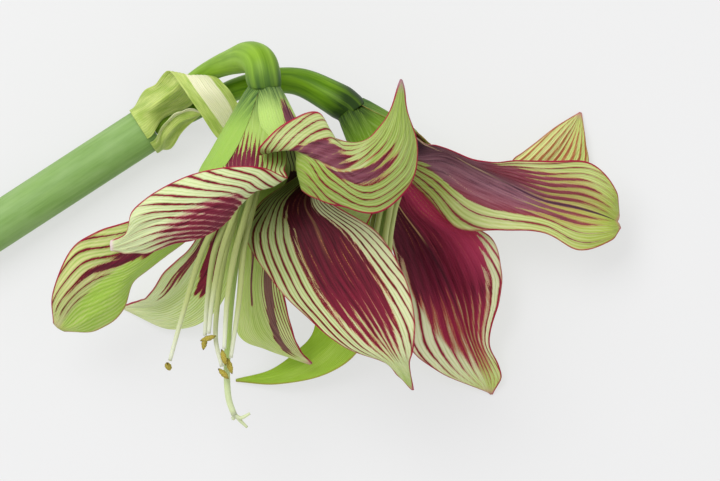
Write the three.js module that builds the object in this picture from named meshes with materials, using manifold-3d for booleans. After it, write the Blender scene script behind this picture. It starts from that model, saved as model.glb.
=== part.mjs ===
// A cut scape of striped butterfly amaryllis with two open blooms, laid on its side.
// Millimetres, +Z up. It is looked down on: +X is to the right and +Y to the top.
import * as THREE from 'three';
import { mergeVertices } from 'three/addons/utils/BufferGeometryUtils.js';
import Module from 'manifold-3d';

const wasm = await Module();
wasm.setup();

// Driving dimensions
const SEAT_GAP = 0.3;
const SCAPE_RADIUS = 9.2;
const SCAPE_LENGTH = 174;
const SCAPE_BEARING = 33;
const SCAPE_SIDES = 24;
const SCAPE_FLAT = SCAPE_RADIUS * Math.cos(Math.PI / SCAPE_SIDES);
const UMBEL = [-84, 46, SCAPE_FLAT];
const UMBEL_FACE_RADIUS = 8.8;
const PEDICEL_RADIUS = 4;
const PEDICEL_SPACING = 8.6;
const BLADE_THICKNESS = 0.8;
const WHORL_OFFSET = 0.95;
const OVARY_TOP_RADIUS = 7.7;
const FILAMENT_RADIUS = 1.25;
const FILAMENT_TIP_RADIUS = 0.8;
const FILAMENT_RING = 3.3;
const STRAIGHT_START = 4;
const STYLE_RADIUS = 1.5;
const STYLE_TIP_RADIUS = 1.25;
const STIGMA_RADIUS = 0.75;
const STIGMA_OVERLAP = 0.1;
const ANTHER_RADIUS = 1.3;

// Mesh density: quads between two stations along a blade, and across it, then the sides and
// the steps along of each round stem
const STEPS_ALONG = 2;
const STEPS_ACROSS = 8;
const PEDICEL_MESH = { sides: 12, steps: 22 };
const FILAMENT_MESH = { sides: 6, steps: 12 };
const STYLE_MESH = { sides: 8, steps: 14 };
const STIGMA_MESH = { sides: 6, steps: 4 };
const ANTHER_MESH = { sides: 7, bands: 6 };

// Each bloom's tube is a cone from its ovary to its throat, with the radius at each end
const BLOOMS = {
  a: { base: [-38, 60, 66], throat: [-38, 24, 66], baseRadius: 6.4, throatRadius: 27 },
  b: { base: [-3, 51.6, 42], throat: [18.4, 25.6, 42], baseRadius: 6.4, throatRadius: 19.5 },
};

const COLORS = {
  scape: 0x86b46a,
  pedicel: 0x6fa832,
  valve: 0xc3cf74,
  tepal: 0xc4d489,
  filament: 0xdde4cf,
  anther: 0xb3a02c,
  style: 0xb4c878,
};

// Each whorl stands outside or inside its tube, and spreads so many degrees to each side of
// a tepal's midrib, at the ovary and at the throat
const OUTER = { side: 1, baseSpread: 54, throatSpread: 34 };
const INNER = { side: -1, baseSpread: 50, throatSpread: 32 };
const OUTER_B = { side: 1, baseSpread: 34, throatSpread: 28 };
const INNER_B = { side: -1, baseSpread: 46, throatSpread: 29 };

// Tepals: azimuth round the tube from straight up, and how far down the tube its claw is
// regular. Beyond that a station is [rib, left margin, right margin, bulge of each half].
const TEPALS = {
  tepal_a1: {
    bloom: 'a', azimuth: -12, whorl: INNER, claw: 0.8, stations: [
      [[-43, 25, 97], [-30, 28, 92], [-54, 24, 89], 0.5, 0.5],
      [[-41, 20, 104], [-29, 25, 98], [-52, 13, 94], 1, 0.5],
      [[-48, 19, 110], [-39, 29, 106], [-52, 8, 101], 1, 0.5],
      [[-62, 15, 113], [-60, 28, 112], [-61, 2, 105], 1.5, 1.5],
      [[-76, 9, 110], [-78, 21, 110], [-75, -2, 102], 1.5, 1.5],
      [[-86, 5, 105], [-90, 12, 106], [-85, -5, 98], 1, 1],
      [[-93, 1, 101], [-93, 3, 102], [-93, -5, 97], 0, 0],
      [[-99, -2, 97], [-99, 0, 97], [-99, -4, 96], 0, 0],
    ],
  },
  tepal_a2: {
    bloom: 'a', azimuth: -82, whorl: OUTER, claw: 0.9, stations: [
      [[-69, 14, 67], [-77, 20, 76], [-66, 4, 52], 1, 1],
      [[-80, 3, 64], [-89, 9, 73], [-77, -6, 51], 1, 1],
      [[-94, -9, 58], [-104, 4, 68], [-90, -16, 48], 1.5, 1.5],
      [[-106, -18, 51], [-115, -3, 60], [-95, -28, 42], 2, 2],
      [[-114, -26, 45], [-123, -21, 52], [-105, -36, 36], 1.5, 1.5],
      [[-121, -35, 38], [-123, -33, 39], [-118.5, -36.5, 37], 0, 0],
    ],
  },
  tepal_a3: {
    bloom: 'a', azimuth: -140, whorl: INNER, claw: 0.9, stations: [
      [[-56, 11, 44], [-61, 11, 55], [-47, 6, 36], 0.5, 0.5],
      [[-61, -1, 33], [-70, -5, 42], [-50, -7, 26], 1, 1],
      [[-67, -12, 23], [-79, -13, 29], [-53, -20, 17], 1, 1],
      [[-74, -21, 14], [-85, -22, 18], [-61, -31, 9], 1, 1],
      [[-83, -26, 7], [-89, -24, 9], [-75, -36, 4], 0.5, 0.5],
      [[-95, -27, 0.6], [-95, -26, 0.7], [-95, -28, 0.5], 0, 0],
    ],
  },
  tepal_a4: {
    bloom: 'a', azimuth: 160, whorl: OUTER, claw: 0.9, stations: [
      [[-37, 10, 39], [-46, 8, 34], [-26, 12, 41], 0.5, 0.5],
      [[-39, -6, 34], [-48, -9, 28], [-31, -9, 40], 1, 1],
      [[-40, -21, 29], [-48, -24, 24], [-30, -24, 35], 1, 1],
      [[-36, -34, 25], [-49, -38, 20], [-27, -36, 30], 1, 1],
      [[-29, -43, 21], [-37, -44, 18], [-24, -44, 24], 0.5, 0.5],
      [[-19.6, -49.6, 18], [-20.1, -50, 18], [-19.1, -49.2, 18], 0, 0],
    ],
  },
  tepal_a5: {
    bloom: 'a', azimuth: 100, whorl: INNER, claw: 0.85, stations: [
      [[-22, 14, 66], [-40, 15, 54], [-13, 17, 78], 1, 0.5],
      [[-18, 3, 70], [-46, 3, 60], [7, 3, 80], 2, 1],
      [[-10, -14, 71], [-35, -16, 66], [18, -15, 79], 2, 1.5],
      [[-1, -27, 70], [-21, -31, 66], [22, -33, 76], 2, 1.5],
      [[9, -41, 66], [-4, -44, 64], [21, -45, 70], 1, 1],
      [[17, -52, 61], [13, -52, 60], [20, -50, 64], 0.5, 0.5],
      [[21, -59.6, 56], [20.4, -59.6, 56], [21.6, -59.6, 56], 0, 0],
    ],
  },
  tepal_a6: {
    bloom: 'a', azimuth: 40, whorl: OUTER, claw: 0.5, stations: [
      [[-27, 39, 90], [-19, 31, 82], [-40, 34, 91], 0, 0.5],
      [[-25, 36, 98], [-23, 20, 91], [-40, 37, 98], 1, 1],
      [[-17, 32, 104], [-16, 16, 96], [-29, 47, 98], 1.5, 2],
      [[-8, 28, 105], [-6, 13, 98], [-17, 51, 94], 1.5, 2],
      [[0, 30, 103], [7, 11, 97], [-10, 41, 97], 1.5, 1],
      [[7, 38, 99], [20, 22, 93], [0, 39, 97], 2, 0.5],
      [[12, 47, 95], [23, 44, 89], [8, 46, 95], 1, 0.3],
      [[16.4, 64, 88], [17, 63.7, 88], [15.8, 64, 88], 0, 0],
    ],
  },
  tepal_b1: {
    bloom: 'b', azimuth: -160, whorl: OUTER_B, claw: 0.9, stations: [
      [[16, 14, 17], [8, 13, 24], [36, 10, 16], 0.5, 0.5],
      [[25, 2, 11], [12, 1, 20], [53, 1, 18], 1, 1.5],
      [[32, -10, 8], [15, -11, 18], [57, -13, 20], 1.5, 1.5],
      [[38, -24, 6], [17, -26, 17], [56, -25, 18], 1.5, 1.5],
      [[43, -39, 4], [20, -43, 14], [52, -41, 13], 1, 1],
      [[48, -51, 3], [32, -53, 6], [58, -52, 7], 0.5, 0.5],
      [[53, -62, 0.5], [52.4, -61.6, 0.5], [53.6, -62, 0.5], 0, 0],
    ],
  },
  tepal_b2: {
    bloom: 'b', azimuth: 150, whorl: INNER_B, claw: 0.85, stations: [
      [[34, 35, 25], [27, 17, 22], [32, 38, 35], 0.5, 0.5],
      [[47, 29, 22], [39, 5, 24], [47, 32, 34], 1, 0.5],
      [[61, 22, 21], [57, 4, 26], [61, 32, 32], 1.5, 0.5],
      [[74, 16, 21], [74, 3, 27], [75, 32, 29], 1.5, 1],
      [[88, 13, 20], [88, -4, 24], [93, 31, 25], 2, 2],
      [[98, 10, 18], [101, 0, 19], [103, 20, 20], 1.5, 1.5],
      [[103.6, 7.6, 15], [105, 5, 15], [104.4, 10, 15], 0, 0],
    ],
  },
  tepal_b3: {
    bloom: 'b', azimuth: 128, whorl: OUTER_B, claw: 0.7, stations: [
      [[32, 33, 19], [30, 22, 15], [32, 39.5, 28], 0.3, 0.3],
      [[45, 27, 11], [46, 14, 8], [43, 34, 17], 0.5, 0.5],
      [[58, 23, 7], [62, 11, 5], [56, 31, 12], 1, 0.5],
      [[70, 25, 5], [81, 15, 4], [63, 34, 8], 1, 1],
      [[79, 33, 3.5], [92, 30, 3], [70, 39, 6], 1, 1],
      [[85, 42, 2.5], [91, 40, 3], [78.4, 45.6, 4.5], 0.5, 0.5],
      [[89, 51.6, 0.6], [89.5, 51.4, 0.6], [88.5, 51.8, 0.6], 0, 0],
    ],
  },
  tepal_b4: {
    bloom: 'b', azimuth: -92, whorl: INNER_B, claw: 0.85, stations: [
      [[1, 7, 38], [7.5, 7, 44], [-7, 8, 30], 0.5, 0.5],
      [[-3, -9, 33], [8, -11, 39], [-15, -7, 27], 1, 1],
      [[-5, -24, 26], [7, -29, 31], [-17, -21, 21], 1, 1],
      [[-10, -39, 18], [-1, -45, 21], [-19, -37, 15], 1, 1],
      [[-21, -49, 11], [-14, -54, 12], [-25, -44, 9], 0.5, 0.5],
      [[-35, -55, 5], [-34, -58, 5], [-36, -52, 4], 0.3, 0.3],
      [[-50, -56.4, 0.5], [-50, -57, 0.5], [-50, -55.8, 0.5], 0, 0],
    ],
  },
  tepal_b5: {
    bloom: 'b', azimuth: -36, whorl: OUTER_B, claw: 0.75, stations: [
      [[1, 19, 63], [7, 15, 63], [-5, 25, 58], 0.5, 0.5],
      [[-8, 10, 63], [1, 3, 62], [-16, 17, 57], 1, 1],
      [[-14, -4, 56], [-4, -7, 55], [-24, 0, 50], 1, 1],
      [[-14, -19, 50], [-5, -20, 49], [-23, -16, 46], 1, 1],
      [[-10, -31, 46], [-5, -30, 45], [-15, -30, 44], 0.5, 0.5],
      [[-6, -39, 43], [-5.4, -39, 43], [-6.6, -39, 43], 0, 0],
    ],
  },
  tepal_b6: {
    bloom: 'b', azimuth: 38, whorl: INNER_B, claw: 0.55, stations: [
      [[17, 36, 62], [21, 40, 58], [11, 31, 62], 0.3, 0.3],
      [[17, 31, 72], [22, 35, 68], [11, 24, 70], 0.5, 0.5],
      [[11, 29, 80], [16, 37, 78], [7, 20, 76], 1, 1],
      [[2, 26, 84], [5, 36, 82], [0, 17, 80], 1, 1],
      [[-4, 24, 84], [-2, 30, 83], [-4, 19, 82], 0.5, 0.5],
      [[-7, 23, 83], [-7, 23.6, 83], [-7, 22.4, 83], 0, 0],
    ],
  },
};

// Spathe valves: bearing round the scape's end at which each is centred, its half spread,
// and stations as for the tepals
const VALVES = {
  spathe_valve_front: {
    bearing: 52, spread: 58, stations: [
      [[-83, 54, 24], [-87, 60, 14], [-79.5, 48.5, 18.5], 0.5, 0.5],
      [[-75, 60, 30], [-82, 63, 22], [-68, 54.5, 21.5], 0.5, 0.5],
      [[-68, 66, 38], [-77, 68, 32], [-59, 66, 36], 0, 0],
      [[-63, 60, 42], [-71, 61, 40], [-54, 62, 40], 0.5, 0.5],
      [[-57, 53, 41], [-64, 51, 40], [-49, 55, 39], 0.7, 0.7],
      [[-52, 45, 37], [-57, 41, 36], [-47, 48, 35], 0.5, 0.5],
      [[-47, 38, 31], [-47.5, 37.6, 31], [-46.5, 38.4, 31], 0, 0],
    ],
  },
  spathe_valve_back: {
    bearing: 156, spread: 34, stations: [
      [[-78, 42, 20], [-79, 46.5, 24], [-76, 37, 13], 1, 1],
      [[-72, 48, 24], [-73, 51.5, 27], [-72, 43, 18], 1, 1],
      [[-67, 50, 25], [-68, 53, 27], [-68, 47, 22], 0.5, 0.5],
      [[-64, 51, 25], [-64, 51.6, 25.3], [-64, 50.4, 24.7], 0, 0],
    ],
  },
};
const VALVE_BASE_SETBACK = 4;
const OVARY_SHOULDER = 2;

// Pedicels: centre line from the umbel to the top of the ovary, and the radius at each point
const PEDICELS = {
  pedicel_a: {
    seat: 1, bloom: 'a',
    route: [[-76, 55.5, 15], [-62, 67, 27], [-50, 72, 45], [-43, 73, 59], [-39.5, 70, 66], [-38.4, 65, 67]],
    radii: [4, 4, 4, 4.2, 5, 6.2, 6.9],
  },
  pedicel_b: {
    seat: -1, bloom: 'b',
    route: [[-72, 50, 8], [-60, 56, 16], [-49, 61, 25], [-36, 64, 32], [-24, 63.5, 37], [-12, 58, 41]],
    radii: [4, 4, 4.2, 4.5, 4.8, 5.4, 6.6],
  },
};

// Azimuths of the filaments on an ovary's top
const FILAMENT_AZIMUTHS = [-90, -30, -150, 150, 90, 30];

// Stamens and style of bloom a: points on each one's way out of the tube
const FILAMENTS_A = [
  [[-49.4, 20, 66], [-62, -2, 62], [-70.4, -28, 58], [-76, -48, 54]],
  [[-47, 20, 70.5], [-55, -4, 68], [-59, -24, 65], [-60.4, -37, 61.5]],
  [[-48.5, 20, 61.8], [-58, -4, 60], [-61, -24, 57.5], [-62, -38, 56]],
  [[-45.4, 20, 59.6], [-53.6, -4, 58], [-57.2, -28, 57], [-57.6, -40, 57], [-55.2, -50.4, 56.3]],
  [[-41, 20, 64], [-46.2, -2, 66.5], [-48.3, -24, 63], [-51.6, -46.8, 59.5]],
  [[-43, 20, 71], [-49.6, -4, 69], [-52.8, -22, 66], [-54.2, -43.2, 62.5]],
];
const ANTHERS_A = [
  { axis: [0.1, -0.45, -0.88], length: 6.6 },
  { axis: [0.95, 0.3, 0.1], length: 6.8 },
  { axis: [-0.15, -0.98, 0.1], length: 5.6 },
  { axis: [0.7, -0.7, 0.1], length: 6 },
  { axis: [0.3, -0.95, 0.05], length: 6.8 },
  { axis: [0.25, -0.96, 0.1], length: 6.8 },
];
const STYLE_A = [
  [-45.4, 20, 66], [-49, -4, 63], [-51.6, -24, 58.5], [-52.8, -40, 55],
  [-53.2, -56, 50.5], [-52.4, -64, 49], [-50.4, -69.6, 48],
];
const STIGMA_A = [
  [[-48, -71, 47.5], [-44, -69.2, 47.5]],
  [[-48.5, -71.5, 46.5], [-45.2, -74.8, 45]],
  [[-50.6, -71.2, 45.5], [-51.2, -71, 42.5]],
];

// Stamens and style of bloom b keep together as a bundle round one centre line
const BUNDLE_B = [[5.2, 41.6, 42], [13.5, 27, 46], [10, 12, 53], [8, 0, 55], [8, -14, 54], [7.5, -27, 51]];
const BUNDLE_END_B = [8, -34, 48];
const BUNDLE_SPREAD_B = 4.4;
const FILAMENT_SHORTENING_B = 2.5;
const ANTHER_LENGTH_B = 6.4;
const STYLE_END_B = [10, -41, 46];
const STIGMA_B = [
  [[11.5, -42.5, 45], [13.5, -43.5, 43.5]],
  [[9.5, -43, 44.5], [9, -45, 42.5]],
  [[9, -42, 47.5], [8.6, -43.4, 49.5]],
];

const vector = (point) => new THREE.Vector3(...point);
const along = (from, direction, distance) => from.clone().addScaledVector(direction, distance);

// A smooth curve through a row of points
const curveThrough = (points) => new THREE.CatmullRomCurve3(points, false, 'centripetal');

// Directions of a cone's axis, of straight up square to it, and of the side square to both
function axes(cone) {
  const base = vector(cone.base);
  const axis = vector(cone.throat).sub(base);
  const length = axis.length();
  axis.normalize();
  const up = new THREE.Vector3(0, 0, 1).addScaledVector(axis, -axis.z).normalize();
  const side = new THREE.Vector3().crossVectors(up, axis);
  return { base, axis, length, up, side };
}

// A point at an azimuth in degrees and a radius, on the circle round a centre
function onCircle(centre, up, side, azimuth, radius) {
  const angle = THREE.MathUtils.degToRad(azimuth);
  return along(along(centre, up, radius * Math.cos(angle)), side, radius * Math.sin(angle));
}

// Places of the five points of a row, and of the rows along a claw
const ACROSS = [-1, -0.5, 0, 0.5, 1];
const CLAW_PARTS = [0, 0.45, 0.8, 1];

// Rows of five points across a tepal's claw, on the cone of the tube
function clawRows({ bloom, azimuth, whorl, claw }) {
  const cone = BLOOMS[bloom];
  const { base, axis, length, up, side } = axes(cone);
  const first = (SEAT_GAP + BLADE_THICKNESS / 2) / length;
  return CLAW_PARTS.map((part) => {
    const s = first + (claw - first) * part;
    const centre = along(base, axis, length * s);
    const tube = THREE.MathUtils.lerp(cone.baseRadius, cone.throatRadius, s);
    const radius = tube + whorl.side * WHORL_OFFSET;
    const spread = THREE.MathUtils.lerp(whorl.baseSpread, whorl.throatSpread, s);
    return ACROSS.map((v) => onCircle(centre, up, side, azimuth - v * spread, radius));
  });
}

// Rows of five points across, from hand-placed stations: the halves bulge to the inner side
function stationRows(stations, lead) {
  const ribs = [lead, ...stations.map(([rib]) => vector(rib))];
  return stations.map(([rib, left, right, bulgeLeft, bulgeRight], k) => {
    const [r, a, b] = [rib, left, right].map(vector);
    const forward = (ribs[k + 2] ?? ribs[k + 1]).clone().sub(ribs[k]);
    const inward = forward.cross(b.clone().sub(a)).normalize();
    const leftHalf = along(a.clone().lerp(r, 0.5), inward, bulgeLeft);
    const rightHalf = along(b.clone().lerp(r, 0.5), inward, bulgeRight);
    return [a, leftHalf, r, rightHalf, b];
  });
}

// A closed mesh from flat lists of points and triangles
function solid(points, triangles) {
  const geometry = new THREE.BufferGeometry();
  const coordinates = points.flatMap((point) => point.toArray());
  geometry.setAttribute('position', new THREE.Float32BufferAttribute(coordinates, 3));
  geometry.setIndex(triangles.flat());
  return geometry;
}

// Step of a surface's parameters over which its slope is taken
const NUDGE = 1e-3;

// A blade of even thickness on the smooth surface through rows of points. Both faces are
// split along the same diagonals.
function blade(rows) {
  const columns = rows[0].map((_, j) => curveThrough(rows.map((row) => row[j])));
  const stepsAlong = STEPS_ALONG * (rows.length - 1);
  const surface = (u, v) => curveThrough(columns.map((column) => column.getPoint(u))).getPoint(v);
  const faces = [[], []];
  for (let i = 0; i <= stepsAlong; i += 1) {
    for (let j = 0; j <= STEPS_ACROSS; j += 1) {
      const [u, v] = [i / stepsAlong, j / STEPS_ACROSS];
      const down = surface(Math.min(u + NUDGE, 1), v).sub(surface(Math.max(u - NUDGE, 0), v));
      const over = surface(u, Math.min(v + NUDGE, 1)).sub(surface(u, Math.max(v - NUDGE, 0)));
      const normal = down.cross(over).normalize();
      const middle = surface(u, v);
      faces[0].push(along(middle, normal, BLADE_THICKNESS / 2));
      faces[1].push(along(middle, normal, -BLADE_THICKNESS / 2));
    }
  }
  const width = STEPS_ACROSS + 1;
  const back = faces[0].length;
  const at = (i, j) => i * width + j;
  const triangles = [];
  for (let i = 0; i < stepsAlong; i += 1) {
    for (let j = 0; j < STEPS_ACROSS; j += 1) {
      const [a, b, c, d] = [at(i, j), at(i + 1, j), at(i + 1, j + 1), at(i, j + 1)];
      triangles.push([a, b, c], [a, c, d]);
      triangles.push([back + a, back + c, back + b], [back + a, back + d, back + c]);
    }
  }
  const rim = [];
  for (let j = 0; j < STEPS_ACROSS; j += 1) rim.push(at(0, j));
  for (let i = 0; i < stepsAlong; i += 1) rim.push(at(i, STEPS_ACROSS));
  for (let j = STEPS_ACROSS; j > 0; j -= 1) rim.push(at(stepsAlong, j));
  for (let i = stepsAlong; i > 0; i -= 1) rim.push(at(i, 0));
  rim.forEach((from, k) => {
    const to = rim[(k + 1) % rim.length];
    triangles.push([from, to, back + to], [from, back + to, back + from]);
  });
  return solid([...faces[0], ...faces[1]], triangles);
}

// A round stem along a curve, with flat ends and a radius that follows a list
function stem(points, radii, { sides, steps }) {
  const curve = curveThrough(points);
  const frames = curve.computeFrenetFrames(steps, false);
  const ringPoints = [];
  for (let i = 0; i <= steps; i += 1) {
    const s = i / steps;
    const place = s * (radii.length - 1);
    const k = Math.min(Math.floor(place), radii.length - 2);
    const radius = THREE.MathUtils.lerp(radii[k], radii[k + 1], place - k);
    const centre = curve.getPointAt(s);
    for (let j = 0; j < sides; j += 1) {
      const turn = (360 * j) / sides;
      ringPoints.push(onCircle(centre, frames.normals[i], frames.binormals[i], turn, radius));
    }
  }
  const triangles = [];
  for (let i = 0; i < steps; i += 1) {
    for (let j = 0; j < sides; j += 1) {
      const [a, b] = [i * sides + j, i * sides + ((j + 1) % sides)];
      triangles.push([a, b, b + sides], [a, b + sides, a + sides]);
    }
  }
  const last = steps * sides;
  for (let j = 1; j < sides - 1; j += 1) {
    triangles.push([0, j + 1, j], [last, last + j, last + j + 1]);
  }
  return solid(ringPoints, triangles);
}

// Points closer than this are one point
const MERGE_TOLERANCE = 1e-4;

// A turned solid whose shared points are merged
function turned(profile, sides, phase = 0) {
  const points = profile.map(([radius, height]) => new THREE.Vector2(radius, height));
  const geometry = new THREE.LatheGeometry(points, sides, phase);
  geometry.deleteAttribute('normal');
  geometry.deleteAttribute('uv');
  return mergeVertices(geometry, MERGE_TOLERANCE);
}

// Several closed meshes joined in one
function joined(geometries) {
  const solids = geometries.map((geometry) => {
    const merged = mergeVertices(geometry, MERGE_TOLERANCE);
    return new wasm.Manifold(new wasm.Mesh({
      numProp: 3,
      vertProperties: merged.attributes.position.array,
      triVerts: Uint32Array.from(merged.index.array),
    }));
  });
  const whole = solids.reduce((sum, next) => sum.add(next)).getMesh();
  const geometry = new THREE.BufferGeometry();
  geometry.setAttribute('position', new THREE.Float32BufferAttribute(whole.vertProperties, 3));
  geometry.setIndex([...whole.triVerts]);
  return geometry;
}

const object = new THREE.Group();

function addNode(name, geometry, color, roughness = 0.5) {
  const material = new THREE.MeshStandardMaterial({ color, roughness, metalness: 0 });
  const mesh = new THREE.Mesh(geometry, material);
  mesh.name = name;
  object.add(mesh);
  return mesh;
}

// The scape's own directions: along it to the umbel, and across it in the plane of the table
const bearing = THREE.MathUtils.degToRad(SCAPE_BEARING);
const scapeAlong = new THREE.Vector3(Math.cos(bearing), Math.sin(bearing), 0);
const scapeAcross = new THREE.Vector3(-Math.sin(bearing), Math.cos(bearing), 0);
const upright = new THREE.Vector3(0, 0, 1);
const umbel = vector(UMBEL);

// The scape: a straight round stem with a flat cut end, rounded in at the umbel, turned so
// that one of its long facets lies flat on the table
function addScape() {
  const rounding = SCAPE_RADIUS - UMBEL_FACE_RADIUS;
  const profile = [
    [0, 0],
    [SCAPE_RADIUS, 0],
    [SCAPE_RADIUS, SCAPE_LENGTH / 2],
    [SCAPE_RADIUS, SCAPE_LENGTH - 2 * rounding],
    [UMBEL_FACE_RADIUS, SCAPE_LENGTH],
    [0, SCAPE_LENGTH],
  ];
  const halfFacet = Math.PI / SCAPE_SIDES;
  const scape = addNode('scape', turned(profile, SCAPE_SIDES, halfFacet), COLORS.scape, 0.55);
  const turn = new THREE.Matrix4().makeBasis(scapeAcross.clone().negate(), scapeAlong, upright);
  scape.quaternion.setFromRotationMatrix(turn);
  scape.position.copy(along(umbel, scapeAlong, -SCAPE_LENGTH));
}

// A valve wraps part of the scape's end as a collar, and then follows its stations
function addValve(name, { bearing: centre, spread, stations }) {
  const radius = SCAPE_RADIUS + 2 * SEAT_GAP + BLADE_THICKNESS / 2;
  const collar = [-VALVE_BASE_SETBACK, -VALVE_BASE_SETBACK / 2].map((distance) => {
    const middle = along(umbel, scapeAlong, distance);
    return ACROSS.map((v) => onCircle(middle, scapeAcross, upright, centre + v * spread, radius));
  });
  const rows = [...collar, ...stationRows(stations, collar[1][2])];
  addNode(name, blade(rows), COLORS.valve, 0.45);
}

// A pedicel leaves the scape's end face and swells to an ovary under its bloom
function addPedicel(name, { seat, bloom, route, radii }) {
  const { base, axis } = axes(BLOOMS[bloom]);
  const start = along(umbel, upright, (seat * PEDICEL_SPACING) / 2);
  const points = [
    along(start, scapeAlong, SEAT_GAP),
    along(start, scapeAlong, PEDICEL_RADIUS),
    ...route.map(vector),
    along(base, axis, -OVARY_SHOULDER),
    base,
  ];
  const geometry = stem(points, [...radii, OVARY_TOP_RADIUS], PEDICEL_MESH);
  addNode(name, geometry, COLORS.pedicel, 0.4);
}

// A tepal is a claw in the tube that opens into its blade
function addTepal(name, spec) {
  const claw = clawRows(spec);
  const rows = [...claw, ...stationRows(spec.stations, claw.at(-1)[2])];
  addNode(name, blade(rows), COLORS.tepal, 0.45);
}

// The first two points of a stem that leaves a place on the ovary's top, square to it
function seated(root, axis) {
  return [along(root, axis, SEAT_GAP), along(root, axis, STRAIGHT_START)];
}

// Filaments stand in a ring round the style, at azimuths from straight up
function filamentSeat(bloom, azimuth) {
  const { base, axis, up, side } = axes(BLOOMS[bloom]);
  return seated(onCircle(base, up, side, azimuth, FILAMENT_RING), axis);
}

function styleSeat(bloom) {
  const { base, axis } = axes(BLOOMS[bloom]);
  return seated(base, axis);
}

function addFilament(name, points) {
  const radii = [FILAMENT_RADIUS, FILAMENT_RADIUS, FILAMENT_RADIUS, FILAMENT_TIP_RADIUS];
  addNode(name, stem(points, radii, FILAMENT_MESH), COLORS.filament, 0.4);
}

// An anther is a slim spindle that hangs just clear of its filament's end
function addAnther(name, points, axis, length) {
  const tip = points.at(-1);
  const outward = tip.clone().sub(points.at(-2)).normalize();
  const direction = vector(axis).normalize();
  const lean = outward.dot(direction);
  const across = ANTHER_RADIUS * Math.sqrt(Math.max(0, 1 - lean * lean));
  const reach = Math.hypot((length / 2) * lean, across);
  const { sides, bands } = ANTHER_MESH;
  const profile = [[0, -length / 2]];
  for (let k = 1; k < bands; k += 1) {
    const angle = (Math.PI * k) / bands;
    profile.push([ANTHER_RADIUS * Math.sin(angle), (-length / 2) * Math.cos(angle)]);
  }
  profile.push([0, length / 2]);
  const anther = addNode(name, turned(profile, sides), COLORS.anther, 0.8);
  anther.quaternion.setFromUnitVectors(new THREE.Vector3(0, 1, 0), direction);
  anther.position.copy(along(tip, outward, reach + SEAT_GAP));
}

// A style ends in a stigma with three lobes
function addStyle(name, points, lobes) {
  const shaft = stem(points, [STYLE_RADIUS, STYLE_RADIUS, STYLE_TIP_RADIUS], STYLE_MESH);
  const root = points.at(-1).clone().lerp(points.at(-2), STIGMA_OVERLAP);
  const branches = lobes.map((lobe) => {
    const path = [root, ...lobe.map(vector)];
    return stem(path, path.map(() => STIGMA_RADIUS), STIGMA_MESH);
  });
  addNode(name, joined([shaft, ...branches]), COLORS.style, 0.4);
}

function addStamensA() {
  FILAMENTS_A.forEach((route, k) => {
    const points = [...filamentSeat('a', FILAMENT_AZIMUTHS[k]), ...route.map(vector)];
    addFilament(`filament_a${k + 1}`, points);
    addAnther(`anther_a${k + 1}`, points, ANTHERS_A[k].axis, ANTHERS_A[k].length);
  });
  addStyle('style_a', [...styleSeat('a'), ...STYLE_A.map(vector)], STIGMA_A);
}

// The way of one filament of bloom b beside the centre line of its bundle
function bundleRoute(azimuth, shortening) {
  const { base } = axes(BLOOMS.b);
  const centres = [...BUNDLE_B, BUNDLE_END_B].map(vector);
  const last = centres.length - 1;
  return centres.map((centre, n) => {
    const before = n > 0 ? centres[n - 1] : base;
    const forward = centres[Math.min(n + 1, last)].clone().sub(before).normalize();
    const up = upright.clone().addScaledVector(forward, -forward.z).normalize();
    const side = new THREE.Vector3().crossVectors(up, forward);
    const radius = THREE.MathUtils.lerp(FILAMENT_RING, BUNDLE_SPREAD_B, n / last);
    return along(onCircle(centre, up, side, azimuth, radius), forward, n === last ? -shortening : 0);
  });
}

function addStamensB() {
  FILAMENT_AZIMUTHS.forEach((azimuth, k) => {
    const route = bundleRoute(azimuth, FILAMENT_SHORTENING_B * (k % 3));
    const points = [...filamentSeat('b', azimuth), ...route];
    addFilament(`filament_b${k + 1}`, points);
    const outward = points.at(-1).clone().sub(points.at(-2));
    addAnther(`anther_b${k + 1}`, points, outward.toArray(), ANTHER_LENGTH_B);
  });
  const points = [...styleSeat('b'), ...BUNDLE_B.map(vector), vector(BUNDLE_END_B), vector(STYLE_END_B)];
  addStyle('style_b', points, STIGMA_B);
}

addScape();
Object.entries(VALVES).forEach(([name, spec]) => addValve(name, spec));
Object.entries(PEDICELS).forEach(([name, spec]) => addPedicel(name, spec));
Object.entries(TEPALS).forEach(([name, spec]) => addTepal(name, spec));
addStamensA();
addStamensB();

// The origin is the middle of the underside of the whole
const box = new THREE.Box3().setFromObject(object, true);
object.position.set(-(box.min.x + box.max.x) / 2, -(box.min.y + box.max.y) / 2, -box.min.z);

export default object;
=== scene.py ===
"""A cut butterfly amaryllis with two open blooms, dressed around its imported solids."""
import logging
import math
from dataclasses import dataclass, replace
from enum import Enum

import bpy
import numpy as np
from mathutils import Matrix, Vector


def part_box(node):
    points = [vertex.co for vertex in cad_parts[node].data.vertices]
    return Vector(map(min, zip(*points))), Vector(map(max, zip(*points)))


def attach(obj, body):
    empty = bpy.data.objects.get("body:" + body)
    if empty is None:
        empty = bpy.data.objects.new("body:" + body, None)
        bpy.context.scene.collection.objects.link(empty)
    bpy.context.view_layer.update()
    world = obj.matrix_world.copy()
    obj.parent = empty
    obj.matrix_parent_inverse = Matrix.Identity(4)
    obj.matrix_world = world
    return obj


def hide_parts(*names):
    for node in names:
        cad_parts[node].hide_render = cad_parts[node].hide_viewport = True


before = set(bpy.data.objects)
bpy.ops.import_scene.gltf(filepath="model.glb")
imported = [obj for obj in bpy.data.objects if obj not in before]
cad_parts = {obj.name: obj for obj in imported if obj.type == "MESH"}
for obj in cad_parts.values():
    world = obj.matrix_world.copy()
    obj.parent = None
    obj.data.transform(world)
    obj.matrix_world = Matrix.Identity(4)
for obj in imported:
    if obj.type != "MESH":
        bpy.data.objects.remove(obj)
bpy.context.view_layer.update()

log = logging.getLogger("amaryllis")

MM = 0.001

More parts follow.
